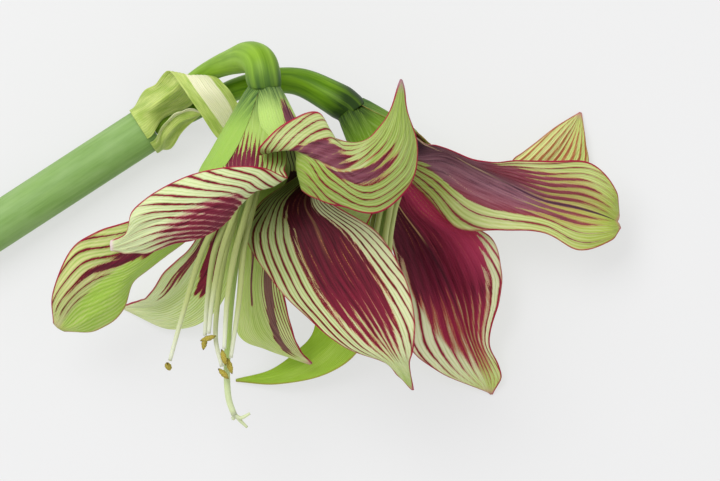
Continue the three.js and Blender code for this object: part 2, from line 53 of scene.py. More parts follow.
Point = tuple[float, float, float]
Station = tuple[Point, Point, Point, float, float]
Colour = tuple[float, float, float, float]
Faces = list[tuple[int, ...]]
Layers = dict[str, np.ndarray]
Form = tuple[np.ndarray, Faces, Layers]
Sockets = dict[str, "Signal | float | Colour | Point"]

# The view: the photograph's size in pixels, and how many millimetres one pixel spans at the
# height that the lens is set for
PHOTO_WIDTH = 720
VIEW_MM_PER_PIXEL = 0.4
VIEW_HEIGHT_MM = 50
VIEW_DISTANCE_MM = 6000
SENSOR_MM = 36

# Solids that the looks are built on, in millimetres, as in the part's source
SEAT_GAP = 0.3
BLADE_THICKNESS = 0.8
CLAW_LAP = 2.2
WHORL_OFFSET = 0.95
MARGIN_SINK = 1.15
SCAPE_RADIUS = 9.2
SCAPE_LENGTH = 174
SCAPE_BEARING = math.radians(33)
SCAPE_FLAT = SCAPE_RADIUS * math.cos(math.pi / 24)
UMBEL = np.array((-84, 46, SCAPE_FLAT))
UMBEL_FACE_RADIUS = 8.8
PEDICEL_RADIUS = 4
PEDICEL_SPACING = 8.6
OVARY_TOP_RADIUS = 7.7
OVARY_SHOULDER = 2
VALVE_BASE_SETBACK = 4
FILAMENT_RADIUS = 1.25
FILAMENT_TIP_RADIUS = 0.8
FILAMENT_RING = 3.3
STRAIGHT_START = 4
STYLE_RADIUS = 1.5
STYLE_TIP_RADIUS = 1.25
STIGMA_RADIUS = 0.75
STIGMA_OVERLAP = 0.1
ANTHER_RADIUS = 1.3
FILAMENT_AZIMUTHS = (-90, -30, -150, 150, 90, 30)

# Relief that the looks add: heights in millimetres, the midrib's width as a share of the blade's
FOLD_HEIGHT = 0.06
GROOVE_DEPTH = 0.22
RIB_WIDTH = 0.05
CUT_ROUNDING = 0.012
OVARY_LOBES = 0.03
OVARY_TAPER = 0.11
LOBE_STEPS = 16

CLAW_PARTS = (0, 0.45, 0.8, 1)
NUDGE = 1e-3
ODD_DIRECTION = (0.31, 0.17, 0.93)
CORNER_NUDGES = (-0.3, -0.2, -0.1, 0, 0.1, 0.2, 0.3)
ACROSS = np.array((-1, -0.5, 0, 0.5, 1))
UPRIGHT = np.array((0.0, 0.0, 1.0))
SCAPE_ALONG = np.array((math.cos(SCAPE_BEARING), math.sin(SCAPE_BEARING), 0))
SCAPE_ACROSS = np.array((-math.sin(SCAPE_BEARING), math.cos(SCAPE_BEARING), 0))


class Slot(Enum):
    """Material slots of the record."""

    SCAPE = "scape"
    SPATHE = "spathe"
    PEDICEL = "pedicel"
    TEPAL = "tepal"
    FILAMENT = "filament"
    STYLE = "style"
    ANTHER = "anther"


class Face(Enum):
    """The two faces of a blade: the one that looks into the bloom, and its back."""

    INNER = 1
    OUTER = -1


def srgb(red: float, green: float, blue: float) -> Colour:
    """Turns a colour given as 0 to 255 on a screen into linear light.

    Args:
        red: Red, 0 to 255.
        green: Green, 0 to 255.
        blue: Blue, 0 to 255.

    Returns:
        The linear colour with full alpha.
    """
    shares = [value / 255 for value in (red, green, blue)]
    linear = [s / 12.92 if s <= 0.04045 else ((s + 0.055) / 1.055) ** 2.4 for s in shares]
    return (*linear, 1.0)


def unit(vector: np.ndarray) -> np.ndarray:
    """Gives a vector the length one, along its last axis."""
    return vector / np.linalg.norm(vector, axis=-1, keepdims=True)


def smooth(value: np.ndarray, low: float, high: float) -> np.ndarray:
    """Rises smoothly from 0 at low to 1 at high."""
    share = np.clip((value - low) / (high - low), 0, 1)
    return share * share * (3 - 2 * share)


def eased(station: np.ndarray, at: np.ndarray, numbers: np.ndarray) -> np.ndarray:
    """Reads a number between stations, with its corners rounded off."""
    return sum(np.interp(station + nudge, at, numbers) for nudge in CORNER_NUDGES) / len(CORNER_NUDGES)


def spline(points: np.ndarray, places: np.ndarray) -> np.ndarray:
    """Follows a centripetal Catmull-Rom curve, the one that the solids follow.

    Args:
        points: The points that the curve passes through, along the first axis.
        places: Places on the curve, from 0 at its first point to 1 at its last.

    Returns:
        The curve's points at those places, along the first axis.
    """
    points = np.asarray(points, float)
    last = len(points) - 1
    before = 2 * points[:1] - points[1:2]
    after = 2 * points[-1:] - points[-2:-1]
    padded = np.concatenate((before, points, after))
    scaled = np.asarray(places, float) * last
    index = np.clip(np.floor(scaled).astype(int), 0, last - 1)
    share = (scaled - index).reshape((-1,) + (1,) * (points.ndim - 1))
    p0, p1, p2, p3 = (padded[index + k] for k in range(4))
    d0, d1, d2 = (((b - a) ** 2).sum(-1, keepdims=True) ** 0.25 for a, b in ((p0, p1), (p1, p2), (p2, p3)))
    leave = ((p1 - p0) / d0 - (p2 - p0) / (d0 + d1) + (p2 - p1) / d1) * d1
    arrive = ((p2 - p1) / d1 - (p3 - p1) / (d1 + d2) + (p3 - p2) / d2) * d1
    square = 3 * (p2 - p1) - 2 * leave - arrive
    cube = 2 * (p1 - p2) + leave + arrive
    return p1 + leave * share + square * share**2 + cube * share**3


@dataclass(frozen=True)
class Cone:
    """The tube of a bloom, from the top of its ovary to its throat."""

    base: Point
    throat: Point
    base_radius: float
    throat_radius: float

    def axes(self) -> tuple[np.ndarray, float, np.ndarray, np.ndarray]:
        """Gives the cone's directions.

        Returns:
            The axis, the cone's length, straight up square to the axis, and the side.
        """
        way = np.subtract(self.throat, self.base)
        length = float(np.linalg.norm(way))
        axis = way / length
        up = unit(UPRIGHT - axis * axis[2])
        return axis, length, up, np.cross(up, axis)


BLOOMS = {
    "a": Cone((-38, 60, 66), (-38, 24, 66), 6.4, 27),
    "b": Cone((-3, 51.6, 42), (18.4, 25.6, 42), 6.4, 19.5),
}


def on_circle(
    centre: np.ndarray, up: np.ndarray, side: np.ndarray, azimuth: np.ndarray, radius: float
) -> np.ndarray:
    """Gives points on a circle.

    Args:
        centre: The circle's centre.
        up: The direction of azimuth 0.
        side: The direction of azimuth 90.
        azimuth: Azimuths in degrees.
        radius: The circle's radius.

    Returns:
        One point for each azimuth.
    """
    angle = np.radians(azimuth)[..., None]
    return centre + radius * (np.cos(angle) * up + np.sin(angle) * side)


def station_rows(stations: tuple[Station, ...], lead: np.ndarray) -> np.ndarray:
    """Spreads each station into a row of five points across a blade.

    Args:
        stations: Rib, left margin, right margin and the bulge of each half to the inner side.
        lead: The rib point just before the first station.

    Returns:
        An array of rows, points and coordinates.
    """
    ribs = np.array([lead, *(station[0] for station in stations)], float)
    rows = []
    for k, (rib, left, right, bulge_left, bulge_right) in enumerate(stations):
        middle, first, last = (np.array(point, float) for point in (rib, left, right))
        forward = ribs[min(k + 2, len(ribs) - 1)] - ribs[k]
        inward = unit(np.cross(forward, last - first))
        left_half = (first + middle) / 2 + bulge_left * inward
        right_half = (last + middle) / 2 + bulge_right * inward
        rows.append((first, left_half, middle, right_half, last))
    return np.array(rows)


class Signal:
    """A socket of a material, on which arithmetic adds Math nodes."""

    def __init__(self, shader: "Shader", socket: bpy.types.NodeSocket) -> None:
        """Keeps the socket and the shader that it belongs to."""
        self.shader = shader
        self.socket = socket

    def math(self, operation: str, *others: "Signal | float") -> "Signal":
        """Adds one Math node.

        Args:
            operation: The node's operation.
            others: The values that follow this one in its sockets.

        Returns:
            The node's result.
        """
        values = dict(enumerate((self, *others)))
        return self.shader.add("ShaderNodeMath", {"operation": operation}, values)

    def __add__(self, other: "Signal | float") -> "Signal":
        """Adds."""
        return self.math("ADD", other)

    __radd__ = __add__

    def __sub__(self, other: "Signal | float") -> "Signal":
        """Subtracts."""
        return self.math("SUBTRACT", other)

    def __rsub__(self, other: float) -> "Signal":
        """Subtracts this from a number."""
        return (self * -1) + other

    def __mul__(self, other: "Signal | float") -> "Signal":
        """Multiplies."""
        return self.math("MULTIPLY", other)

    __rmul__ = __mul__

    def __abs__(self) -> "Signal":
        """Drops the sign."""
        return self.math("ABSOLUTE")

    def __pow__(self, other: float) -> "Signal":
        """Raises to a power."""
        return self.math("POWER", other)

    def most(self, other: "Signal | float") -> "Signal":
        """Takes the greater of two values."""
        return self.math("MAXIMUM", other)

    def wave(self) -> "Signal":
        """Rises to 1 at each whole number and falls to 0 halfway between."""
        return abs((self + 0.5).math("FRACT") * 2 - 1) * -1 + 1

    def step(self, low: "Signal | float", high: "Signal | float") -> "Signal":
        """Rises smoothly from 0 at low to 1 at high."""
        values = {"Value": self, "From Min": low, "From Max": high}
        return self.shader.add("ShaderNodeMapRange", {"interpolation_type": "SMOOTHSTEP"}, values)


class Shader:
    """A node material under construction."""

    def __init__(self, name: str) -> None:
        """Starts an empty material.

        Args:
            name: The material's name.
        """
        self.material = bpy.data.materials.new(name)
        self.material.use_nodes = True
        self.tree = self.material.node_tree
        self.tree.nodes.clear()

    def add(
        self, kind: str, settings: dict | None = None, values: dict | None = None, output: int | str = 0
    ) -> Signal:
        """Adds one node of any kind.

        Args:
            kind: The node's type.
            settings: Its properties, set before its sockets.
            values: Numbers, colours or signals for its sockets, by name or place.
            output: The socket that is wanted from it.

        Returns:
            That output.
        """
        node = self.tree.nodes.new(kind)
        for key, value in (settings or {}).items():
            setattr(node, key, value)
        for key, value in (values or {}).items():
            if isinstance(value, Signal):
                self.tree.links.new(value.socket, node.inputs[key])
            else:
                node.inputs[key].default_value = value
        return Signal(self, node.outputs[output])

    def attribute(self, name: str) -> Signal:
        """Reads one of the mesh's own numbers."""
        return self.add("ShaderNodeAttribute", {"attribute_name": name}, output="Fac")

    def noise(self, place: tuple, detail: float, roughness: float = 0.5) -> Signal:
        """Adds a noise.

        Args:
            place: Three numbers that say where on the skin a point lies.
            detail: The noise's detail.
            roughness: The noise's roughness.

        Returns:
            A noise between 0 and 1.
        """
        vector = self.add("ShaderNodeCombineXYZ", None, dict(enumerate(place)))
        values = {"Vector": vector, "Scale": 1.0, "Detail": detail, "Roughness": roughness}
        return self.add("ShaderNodeTexNoise", None, values)

    def skin(
        self, scale: float, stretch: float, seed: float, detail: float, roughness: float = 0.5
    ) -> Signal:
        """Adds a noise on a stem's skin.

        Args:
            scale: How fine it is round the stem.
            stretch: How fine it is along the stem.
            seed: What sets it apart from others.
            detail: Its detail.
            roughness: Its roughness.

        Returns:
            The noise, between 0 and 1.
        """
        turn_x, turn_y = (self.attribute(name) * scale for name in ("turn_x", "turn_y"))
        return self.noise((turn_x, turn_y, self.attribute("along") * stretch + seed), detail, roughness)

    def mix(self, share: Signal | float, first: Signal | Colour, second: Signal | Colour) -> Signal:
        """Mixes two colours, from the first at share 0 to the second at share 1."""
        settings = {"data_type": "RGBA", "clamp_factor": True}
        return self.add("ShaderNodeMix", settings, {0: share, 6: first, 7: second}, output=2)

    def glaze(self, colour: Signal, layers: tuple) -> Signal:
        """Lays colours over one another, each by its own share.

        Args:
            colour: The colour beneath.
            layers: Pairs of a share and a colour, from the lowest up.

        Returns:
            The colour on top.
        """
        for share, layer in layers:
            colour = self.mix(share, colour, layer)
        return colour

    def bump(self, height: Signal, strength: float, distance: float) -> Signal:
        """Turns a height into a normal."""
        values = {"Height": height, "Strength": strength, "Distance": distance}
        return self.add("ShaderNodeBump", None, values)

    def finish(self, sockets: Sockets) -> bpy.types.Material:
        """Adds the surface with its sockets and closes the material.

        Args:
            sockets: Numbers, colours or signals for the surface's sockets.

        Returns:
            The finished material.
        """
        surface = self.add("ShaderNodeBsdfPrincipled", None, sockets)
        output = self.tree.nodes.new("ShaderNodeOutputMaterial")
        self.tree.links.new(surface.socket, output.inputs["Surface"])
        return self.material


def flesh(weight: float, radius: Point, scale: float) -> Sockets:
    """Gives the sockets of flesh that light passes into."""
    return {"Subsurface Weight": weight, "Subsurface Radius": radius, "Subsurface Scale": scale}


@dataclass(frozen=True)
class Finish:
    """What dresses a piece."""

    def material(self, name: str) -> bpy.types.Material:
        """Builds the material under a name."""
        shader = Shader(name)
        return shader.finish(self.surface(shader))

    def surface(self, shader: Shader) -> Sockets:
        """Gives the surface's sockets, from the numbers that the mesh carries."""
        raise NotImplementedError


class Weave:
    """The noises and veins that a tepal's colours share."""

    def __init__(self, shader: Shader, seed: float) -> None:
        """Adds the noises.

        Args:
            shader: The material under construction.
            seed: What sets this tepal's noises apart.
        """
        along, reach, veins = (shader.attribute(name) for name in ("along", "reach", "veins"))
        self.core = shader.attribute("core")
        # How deep in the tube a point lies: it lays the throat's own darker colour and painted shade of the
        # recess
        self.depth = shader.attribute("depth")
        self.cloud = shader.noise((reach * 0.14, along * 0.04, seed), 3)
        self.streak = shader.noise((reach * 1.3, along * 0.06, seed + 3), 4, 0.6)
        self.grain = shader.noise((reach * 2.2, along * 0.5, seed + 7), 3, 0.6)
        self.spark = shader.noise((reach * 2.8, along * 2.0, seed + 9), 2, 0.6)
        self.thin = shader.noise((reach * 4.5, along * 0.12, seed + 11), 3, 0.6)
        self.vein = (veins + (self.cloud - 0.5) * 0.3).wave()
        self.fine = (veins * 3 + (self.cloud - 0.5) + 0.5).wave()


@dataclass(frozen=True)
class TepalFinish(Finish):
    """Fleshy tepal: pale green, striped and blotched with crimson and maroon."""

    pale: Colour = srgb(212, 218, 168)
    green: Colour = srgb(156, 184, 76)
    shade: Colour = srgb(104, 134, 44)
    tube: Colour = srgb(178, 209, 112)
    neck: Colour = srgb(58, 90, 44)
    throat: Colour = srgb(84, 104, 26)
    crimson: Colour = srgb(124, 14, 36)
    maroon: Colour = srgb(88, 22, 38)
    bright: Colour = srgb(142, 34, 62)
    dark: Colour = srgb(40, 8, 14)
    brick: Colour = srgb(168, 112, 68)
    gold: Colour = srgb(186, 132, 70)
    # Brighter crimson, laid partly as the bloom's own colour and partly as painted light
    flush_and_light: Colour = srgb(150, 36, 66)
    rim: Colour = srgb(158, 18, 58)
    tip: Colour = srgb(206, 120, 140)
    wash_reach: float = 0.6
    fray: float = 1.0
    seed: float = 0.0
    roughness: float = 0.5

    def surface(self, shader: Shader) -> Sockets:
        """Paints stripes and blotches on the leaf's green.

        Args:
            shader: The material under construction.

        Returns:
            The surface's sockets.
        """
        weave = Weave(shader, self.seed)
        streak, core = weave.streak, weave.core
        fuzzy = core * (1 - core) * 4 * self.fray
        lines = shader.attribute("lines") * ((weave.cloud - 0.5) * 0.4 + 0.3)
        cover = lines.most(core + (streak - 0.5) * fuzzy)
        edge = cover * -1.3 + 1.15
        rough = (weave.spark - 0.5) * 0.8 + (weave.thin - 0.5) * 1.6
        height = weave.vein + (streak - 0.5) * 0.3 + (weave.grain - 0.5) * 0.15 + rough * fuzzy
        paint = height.step(edge - 0.1, edge + 0.1)
        wash = height.step(edge - self.wash_reach, edge + 0.1) * core.step(0.06, 0.35)
        halo = height.step(edge - 0.35, edge + 0.1) * cover.step(0, 0.2)
        ground = shader.mix(wash * shader.attribute("wash"), self.ground(shader, weave), self.brick)
        ground = shader.mix(halo * 0.25, ground, self.bright)
        colour = shader.mix(paint, ground, self.heart(shader, weave))
        relief = weave.vein * 0.5 + weave.fine * 0.3 + streak * 0.9 + weave.grain * 0.4
        return {
            "Base Color": self.trimmed(shader, weave, colour, paint),
            "Roughness": (streak - 0.5) * 0.3 + self.roughness,
            "Normal": shader.bump(relief, 0.6, 0.0005),
            "Specular IOR Level": 0.14,
            **flesh(0.15, (1.0, 0.8, 0.4), 0.0015),
        }

    def ground(self, shader: Shader, weave: Weave) -> Signal:
        """Mixes the leaf's greens, with the throat's own darker green and painted shade deep in the tube.

        Args:
            shader: The material under construction.
            weave: Its noises and veins.

        Returns:
            The colour beneath the paint.
        """
        streak, cloud, fine = weave.streak, weave.cloud, weave.fine
        tone = shader.attribute("leaf") + (streak - 0.5) * 0.9 + (cloud - 0.5) * 0.6 + (fine - 0.5) * 0.5
        layers = (
            (fine.step(0.7, 1.0) * cloud.step(0.4, 0.55) * 0.3, self.shade),
            (shader.attribute("tube") * (streak + 0.5), self.tube),
            (shader.attribute("neck") * (streak - 0.15) * 2.4, self.neck),
            # The throat's dark olive deep in the tube: its own green, darkened further as painted shade
            (weave.depth * 0.6, self.throat),
        )
        return shader.glaze(shader.mix(tone, self.pale, self.green), layers)

    def heart(self, shader: Shader, weave: Weave) -> Signal:
        """Mixes the reds of stripes and blotches, with painted glints, brighter crimson that is partly
        painted light, and painted shade deep in the throat.

        Args:
            shader: The material under construction.
            weave: Its noises and veins.

        Returns:
            The colour of the paint.
        """
        streak, core, spark, thin = weave.streak, weave.core, weave.spark, weave.thin
        between = 1 - weave.vein
        thread = between.step(0.8, 1.0) * spark.step(0.44, 0.6) * weave.cloud.step(0.45, 0.6)
        layers = (
            (between * core * 0.55, self.bright),
            (streak.step(0.5, 0.68) * 0.7, self.dark),
            (thin.step(0.55, 0.7) * core * 0.6, self.dark),
            (streak.step(0.5, 0.3) * core * 0.5, self.bright),
            # Painted glints: bright specks from the fine spark noise stand for the petal's sparkle
            (spark.step(0.5, 0.75) * core * 0.4, self.bright),
            # Brighter crimson patches: partly the bloom's own colour, partly painted light lifting a blotch
            # that lies in shade
            (shader.attribute("flush_and_light") * (streak + 0.4), self.flush_and_light),
            # Painted shade: the red goes near-black deep in the throat
            (weave.depth, self.dark),
            (thread * shader.attribute("gold"), self.gold),
        )
        return shader.glaze(shader.mix(core.step(0.2, 0.9), self.crimson, self.maroon), layers)

    def trimmed(self, shader: Shader, weave: Weave, colour: Signal, paint: Signal) -> Signal:
        """Adds the midrib's dark line, the painted highlight along the midrib and along a fold, the rim and
        the tip.

        Args:
            shader: The material under construction.
            weave: Its noises and veins.
            colour: The painted leaf.
            paint: Where it is painted.

        Returns:
            The whole colour.
        """
        off_seam = abs(shader.attribute("seam"))
        dark_line = off_seam.step(RIB_WIDTH, RIB_WIDTH / 4)
        # A pale line on the seam: a painted highlight along the midrib's ridge and along a fold, gold where
        # it crosses paint
        highlight_line = off_seam.step(RIB_WIDTH, RIB_WIDTH / 5) * (weave.spark * 0.8 + 0.6)
        layers = (
            (highlight_line * shader.attribute("crease_highlight"), shader.mix(paint * 0.8, self.pale, self.gold)),
            (dark_line * shader.attribute("rib"), self.dark),
            (shader.attribute("rim") * (weave.streak + 0.55), self.rim),
            (shader.attribute("tip"), self.tip),
        )
        return shader.glaze(colour, layers)


@dataclass(frozen=True)
class SpatheFinish(Finish):
    """Withering bract: yellow-green with raised veins, bleached cream in the middle."""

    green: Colour = srgb(160, 184, 78)
    light: Colour = srgb(194, 208, 116)
    cream: Colour = srgb(228, 224, 192)
    shade: Colour = srgb(112, 138, 40)

    def surface(self, shader: Shader) -> Sockets:
        """Bleaches the veined sheet where it has dried, and darkens its inner face towards the collar as
        painted shade.

        Args:
            shader: The material under construction.

        Returns:
            The surface's sockets.
        """
        along, across = shader.attribute("along"), shader.attribute("across")
        streak = shader.noise((across * 22, along * 0.05, 1.7), 4, 0.6)
        patch = shader.noise((across * 4, along * 0.12, 5.1), 3)
        vein = (across * 11 + (streak - 0.5) * 0.9).wave() ** 3
        bleach = (shader.attribute("core") + (streak - 0.5) * 0.7).step(0.35, 0.65)
        layers = (
            (vein * 0.35, self.shade),
            (bleach, shader.mix(vein * 0.5 + (streak - 0.5) * 0.4, self.cream, self.light)),
            # Painted shade: darker green on the inner face towards the collar, where it wraps the scape
            (shader.attribute("depth"), self.shade),
        )
        return {
            "Base Color": shader.glaze(shader.mix(patch.step(0.3, 0.7), self.green, self.light), layers),
            "Roughness": (streak - 0.5) * 0.3 + 0.5,
            "Normal": shader.bump(vein * 0.8 + streak * 0.5, 0.5, 0.0004),
            **flesh(0.2, (1.0, 0.9, 0.5), 0.002),
        }


@dataclass(frozen=True)
class StemFinish(Finish):
    """Green stem skin with lengthwise streaks, and a waxy bloom where it has one."""

    light: Colour = srgb(136, 169, 99)
    green: Colour = srgb(121, 155, 85)
    band: Colour = srgb(46, 70, 26)
    wax: Colour = srgb(150, 178, 120)
    wax_share: float = 0.5
    ribs: float = 22
    streaks: float = 7
    relief: float = 0.3
    roughness: float = 0.45
    seed: float = 0.0

    def surface(self, shader: Shader) -> Sockets:
        """Streaks, ribs and waxes the skin.

        Args:
            shader: The material under construction.

        Returns:
            The surface's sockets.
        """
        streak = shader.skin(self.streaks, 0.03, self.seed, 4, 0.6)
        cloud = shader.skin(1.2, 0.05, self.seed, 3)
        grain = shader.skin(22, 1.4, self.seed, 3)
        rib = (shader.attribute("around") * self.ribs + (streak - 0.5)).wave()
        layers = (
            (rib * 0.05, self.band),
            (cloud.step(0.35, 0.75) * self.wax_share, self.wax),
            (shader.attribute("core") * (streak - 0.1) * 2, self.band),
        )
        return {
            "Base Color": shader.glaze(shader.mix(streak.step(0.3, 0.7), self.light, self.green), layers),
            "Roughness": (cloud - 0.5) * 0.3 + self.roughness,
            "Normal": shader.bump(rib * 0.25 + streak * 0.6 + grain * 0.2, self.relief, 0.0003),
            "Specular IOR Level": 0.12,
            **flesh(0.12, (0.8, 1.0, 0.4), 0.003),
        }


@dataclass(frozen=True)
class ThreadFinish(Finish):
    """Smooth, slightly translucent flesh of filaments and styles."""

    root: Colour = srgb(142, 156, 72)
    middle: Colour = srgb(186, 195, 124)
    tip: Colour = srgb(216, 220, 196)

    def surface(self, shader: Shader) -> Sockets:
        """Pales the thread from its root to its tip.

        Args:
            shader: The material under construction.

        Returns:
            The surface's sockets.
        """
        share = shader.attribute("share")
        streak = shader.skin(4, 0.05, 0, 3)
        colour = shader.mix((share + (streak - 0.5) * 0.2).step(0.25, 0.75), self.root, self.middle)
        return {
            "Base Color": shader.mix(share.step(0.75, 1.0), colour, self.tip),
            "Roughness": (streak - 0.5) * 0.3 + 0.38,
            "Normal": shader.bump(streak, 0.3, 0.0002),
            **flesh(0.3, (1.0, 1.0, 0.7), 0.002),
        }


@dataclass(frozen=True)
class AntherFinish(Finish):
    """Dry pollen-covered anther, dark where it has shrivelled."""

    pollen: Colour = srgb(206, 190, 82)
    olive: Colour = srgb(140, 122, 30)
    dark: Colour = srgb(60, 42, 16)

    def surface(self, shader: Shader) -> Sockets:
        """Speckles the pollen and darkens the ends.

        Args:
            shader: The material under construction.

        Returns:
            The surface's sockets.
        """
        grain = shader.skin(5, 4, 0, 5, 0.7)
        patch = shader.skin(1.5, 0.8, 0, 2)
        ends = abs(shader.attribute("share") * 2 - 1)
        layers = (
            (grain.step(0.6, 0.72) * 0.7, self.dark),
            ((ends + (patch - 0.5) * 1.2).step(0.7, 1.1), self.dark),
        )
        return {
            "Base Color": shader.glaze(shader.mix(grain.step(0.38, 0.62), self.pollen, self.olive), layers),
            "Roughness": (grain - 0.5) * 0.2 + 0.85,
            "Normal": shader.bump(grain, 0.8, 0.0004),
        }


@dataclass(frozen=True)
class FloorFinish(Finish):
    """Pale sheet lit from below, as on a light table."""

    colour: Colour = srgb(132, 132, 133)
    glow: float = 0.6

    def surface(self, shader: Shader) -> Sockets:
        """Gives the even, matt sheet."""
        glow = {"Emission Color": (1, 1, 1, 1), "Emission Strength": self.glow}
        return {"Base Color": self.colour, "Roughness": 0.9, "Specular IOR Level": 0.1, **glow}


class Placement:
    """Where the source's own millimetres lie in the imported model."""

    def __init__(self) -> None:
        """Works the shift out from the scape's lowest corner."""
        lowest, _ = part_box("scape")
        cut = UMBEL - SCAPE_LENGTH * SCAPE_ALONG
        corner = cut[:2] - SCAPE_FLAT * np.abs(SCAPE_ACROSS[:2])
        self.shift = np.array((lowest[0] - corner[0] * MM, lowest[1] - corner[1] * MM, 0))

    def world(self, points: np.ndarray) -> np.ndarray:
        """Turns points in the source's millimetres into the model's metres."""
        return np.asarray(points, float) * MM + self.shift


@dataclass
class Piece:
    """A visible piece that stands for one solid."""

    name: str
    slot: Slot
    finish: Finish

    def form(self) -> Form:
        """Gives the piece's points in millimetres, its faces and its points' numbers by name."""
        raise NotImplementedError

    def build(self, place: Placement) -> bpy.types.Object:
        """Makes the mesh, dresses it and hands it to the frame.

        Args:
            place: Where the source's millimetres lie.

        Returns:
            The finished object.
        """
        points, faces, layers = self.form()
        mesh = bpy.data.meshes.new(f"{self.name}_form")
        mesh.from_pydata(place.world(points).tolist(), [], faces)
        mesh.polygons.foreach_set("use_smooth", [True] * len(mesh.polygons))
        for key, numbers in layers.items():
            layer = mesh.attributes.new(key, "FLOAT", "POINT")
            layer.data.foreach_set("value", np.asarray(numbers, np.float32).ravel())
        mesh.validate()
        mesh.materials.append(self.finish.material(f"{self.name}_finish"))
        piece = bpy.data.objects.new(f"{self.name}_look", mesh)
        bpy.context.scene.collection.objects.link(piece)
        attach(piece, "root")
        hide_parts(self.name)
        log.info("%s: %d faces", piece.name, len(mesh.polygons))
        return piece


@dataclass(frozen=True)
class Band:
    """A painted zone along a blade: rows of station, left bound, right bound and strength."""

    rows: tuple[tuple[float, float, float, float], ...]
    softness: float = 0.12

    def cover(self, station: np.ndarray, across: np.ndarray) -> np.ndarray:
        """Says how strongly the zone covers each point.

        Args:
            station: How far along the blade each point is.
            across: Where it is between the left margin, -1, and the right, 1.

        Returns:
            A strength for each point.
        """
        at, left, right, strength = np.array(self.rows, float).T
        inside = np.minimum(across - np.interp(station, at, left), np.interp(station, at, right) - across)
        faded = np.interp(station, at, strength, left=0, right=strength[-1])
        return smooth(inside, -self.softness, self.softness) * faded


@dataclass(frozen=True)
class Marks:
    """What is painted on a blade.

    Veins are rows of station and the running number of the vein at the left margin, the
    midrib and the right margin. Lines, leaf, depth and wash are rows of station, left half and
    right half; depth darkens the inner face deep in the throat, the throat's own darker green with
    painted shade over it. Midrib is rows of station, how dark its line is and how strong the
    painted highlight along it is.
    """

    veins: tuple[tuple[float, float, float, float], ...] = ((0, -7, 0, 7), (6, -5, 0, 5))
    lines: tuple[Point, ...] = ((0, 0, 0),)
    bands: tuple[Band, ...] = ()
    back_veins: float = 1.0
    back_lines: tuple[Point, ...] = ((0, 0, 0),)
    back_bands: tuple[Band, ...] = ()
    rim: tuple[float, float] = (1, 1)
    leaf: tuple[Point, ...] = ((0, 0.5, 0.5),)
    # How deep in the tube each point lies: the throat's own darker green and painted shade of the recess
    depth: tuple[Point, ...] = ((-1, 1, 1), (1, 0, 0))
    midrib: tuple[Point, ...] = ((0, 0, 0),)
    seam: tuple[tuple[float, float], ...] = ((0, 0),)
    fold: tuple[tuple[float, float], ...] = ((0, 0),)
    wash: tuple[Point, ...] = ((0, 0.7, 0.7),)
    # Brighter crimson patches, partly the bloom's own colour and partly painted light where a blotch lies
    # in shade
    flush_and_light: tuple[Band, ...] = ()
    gold: tuple[Point, ...] = ((0, 0, 0),)
    tip: float = 0.6

    def vein(self, station: np.ndarray, across: np.ndarray) -> np.ndarray:
        """Numbers the veins: a whole number is the middle of one.

        Args:
            station: How far along the blade each point is.
            across: Where it is between its margins.

        Returns:
            The running number at each point.
        """
        at, left, rib, right = np.array(self.veins, float).T
        first, middle, last = (eased(station, at, numbers) for numbers in (left, rib, right))
        jump = eased(station, *np.array(self.fold, float).T) * (across < 0)
        return middle + (last - first) / 2 * across + (first + last - 2 * middle) / 2 * across**2 - jump

    def layers(self, station: np.ndarray, across: np.ndarray, face: Face) -> Layers:
        """Works out the numbers that the finish reads.

        Args:
            station: How far along the blade each point is.
            across: Where it is between its margins.
            face: The face that the points are on.

        Returns:
            One array for each number.
        """
        inner = face is Face.INNER
        rows, bands = (self.lines, self.bands) if inner else (self.back_lines, self.back_bands)
        core, flush_and_light = np.zeros_like(station), np.zeros_like(station)
        for band in bands:
            core = np.maximum(core, band.cover(station, across))
        for band in self.flush_and_light:
            flush_and_light = np.maximum(flush_and_light, band.cover(station, across))
        back = 0.0 if inner else 1.0
        at, dark, pale = np.array(self.midrib, float).T
        inside = 1 - smooth(np.abs(across), 0.86, 0.98) * (1 - smooth(station, -0.6, 0.2))
        return {
            "veins": self.vein(station, across) * (1 if inner else self.back_veins),
            "across": across,
            "core": core,
            "lines": self.sided(rows, station, across),
            "leaf": self.sided(self.leaf, station, across),
            # Painted shade deep in the tube, over the throat's own darker green: inner face only, kept off
            # the claw's margins
            "depth": self.sided(self.depth, station, across) * (1 - back) * inside,
            "rib": np.interp(station, at, dark) * (1 - back),
            # How strong the painted highlight along the seam is
            "crease_highlight": np.interp(station, at, pale) * (1 - back),
            "seam": across - eased(station, *np.array(self.seam, float).T),
            "flush_and_light": flush_and_light,
            "wash": self.sided(self.wash, station, across),
            "gold": self.sided(self.gold, station, across),
            "tube": back * (1 - smooth(station, -1.2, 1)),
            "neck": back * (1 - smooth(station, -4, -2.7)),
            "tip": self.tip * smooth(station, station.max() - 0.35, station.max()),
        }

    @staticmethod
    def sided(rows: tuple[Point, ...], station: np.ndarray, across: np.ndarray) -> np.ndarray:
        """Blends a number that has one value left of the midrib and one right of it.

        Args:
            rows: Station, left value and right value.
            station: How far along the blade each point is.
            across: Where it is between its margins.

        Returns:
            The number at each point.
        """
        at, left, right = np.array(rows, float).T
        share = smooth(across, -0.12, 0.12)
        return np.interp(station, at, left) * (1 - share) + np.interp(station, at, right) * share


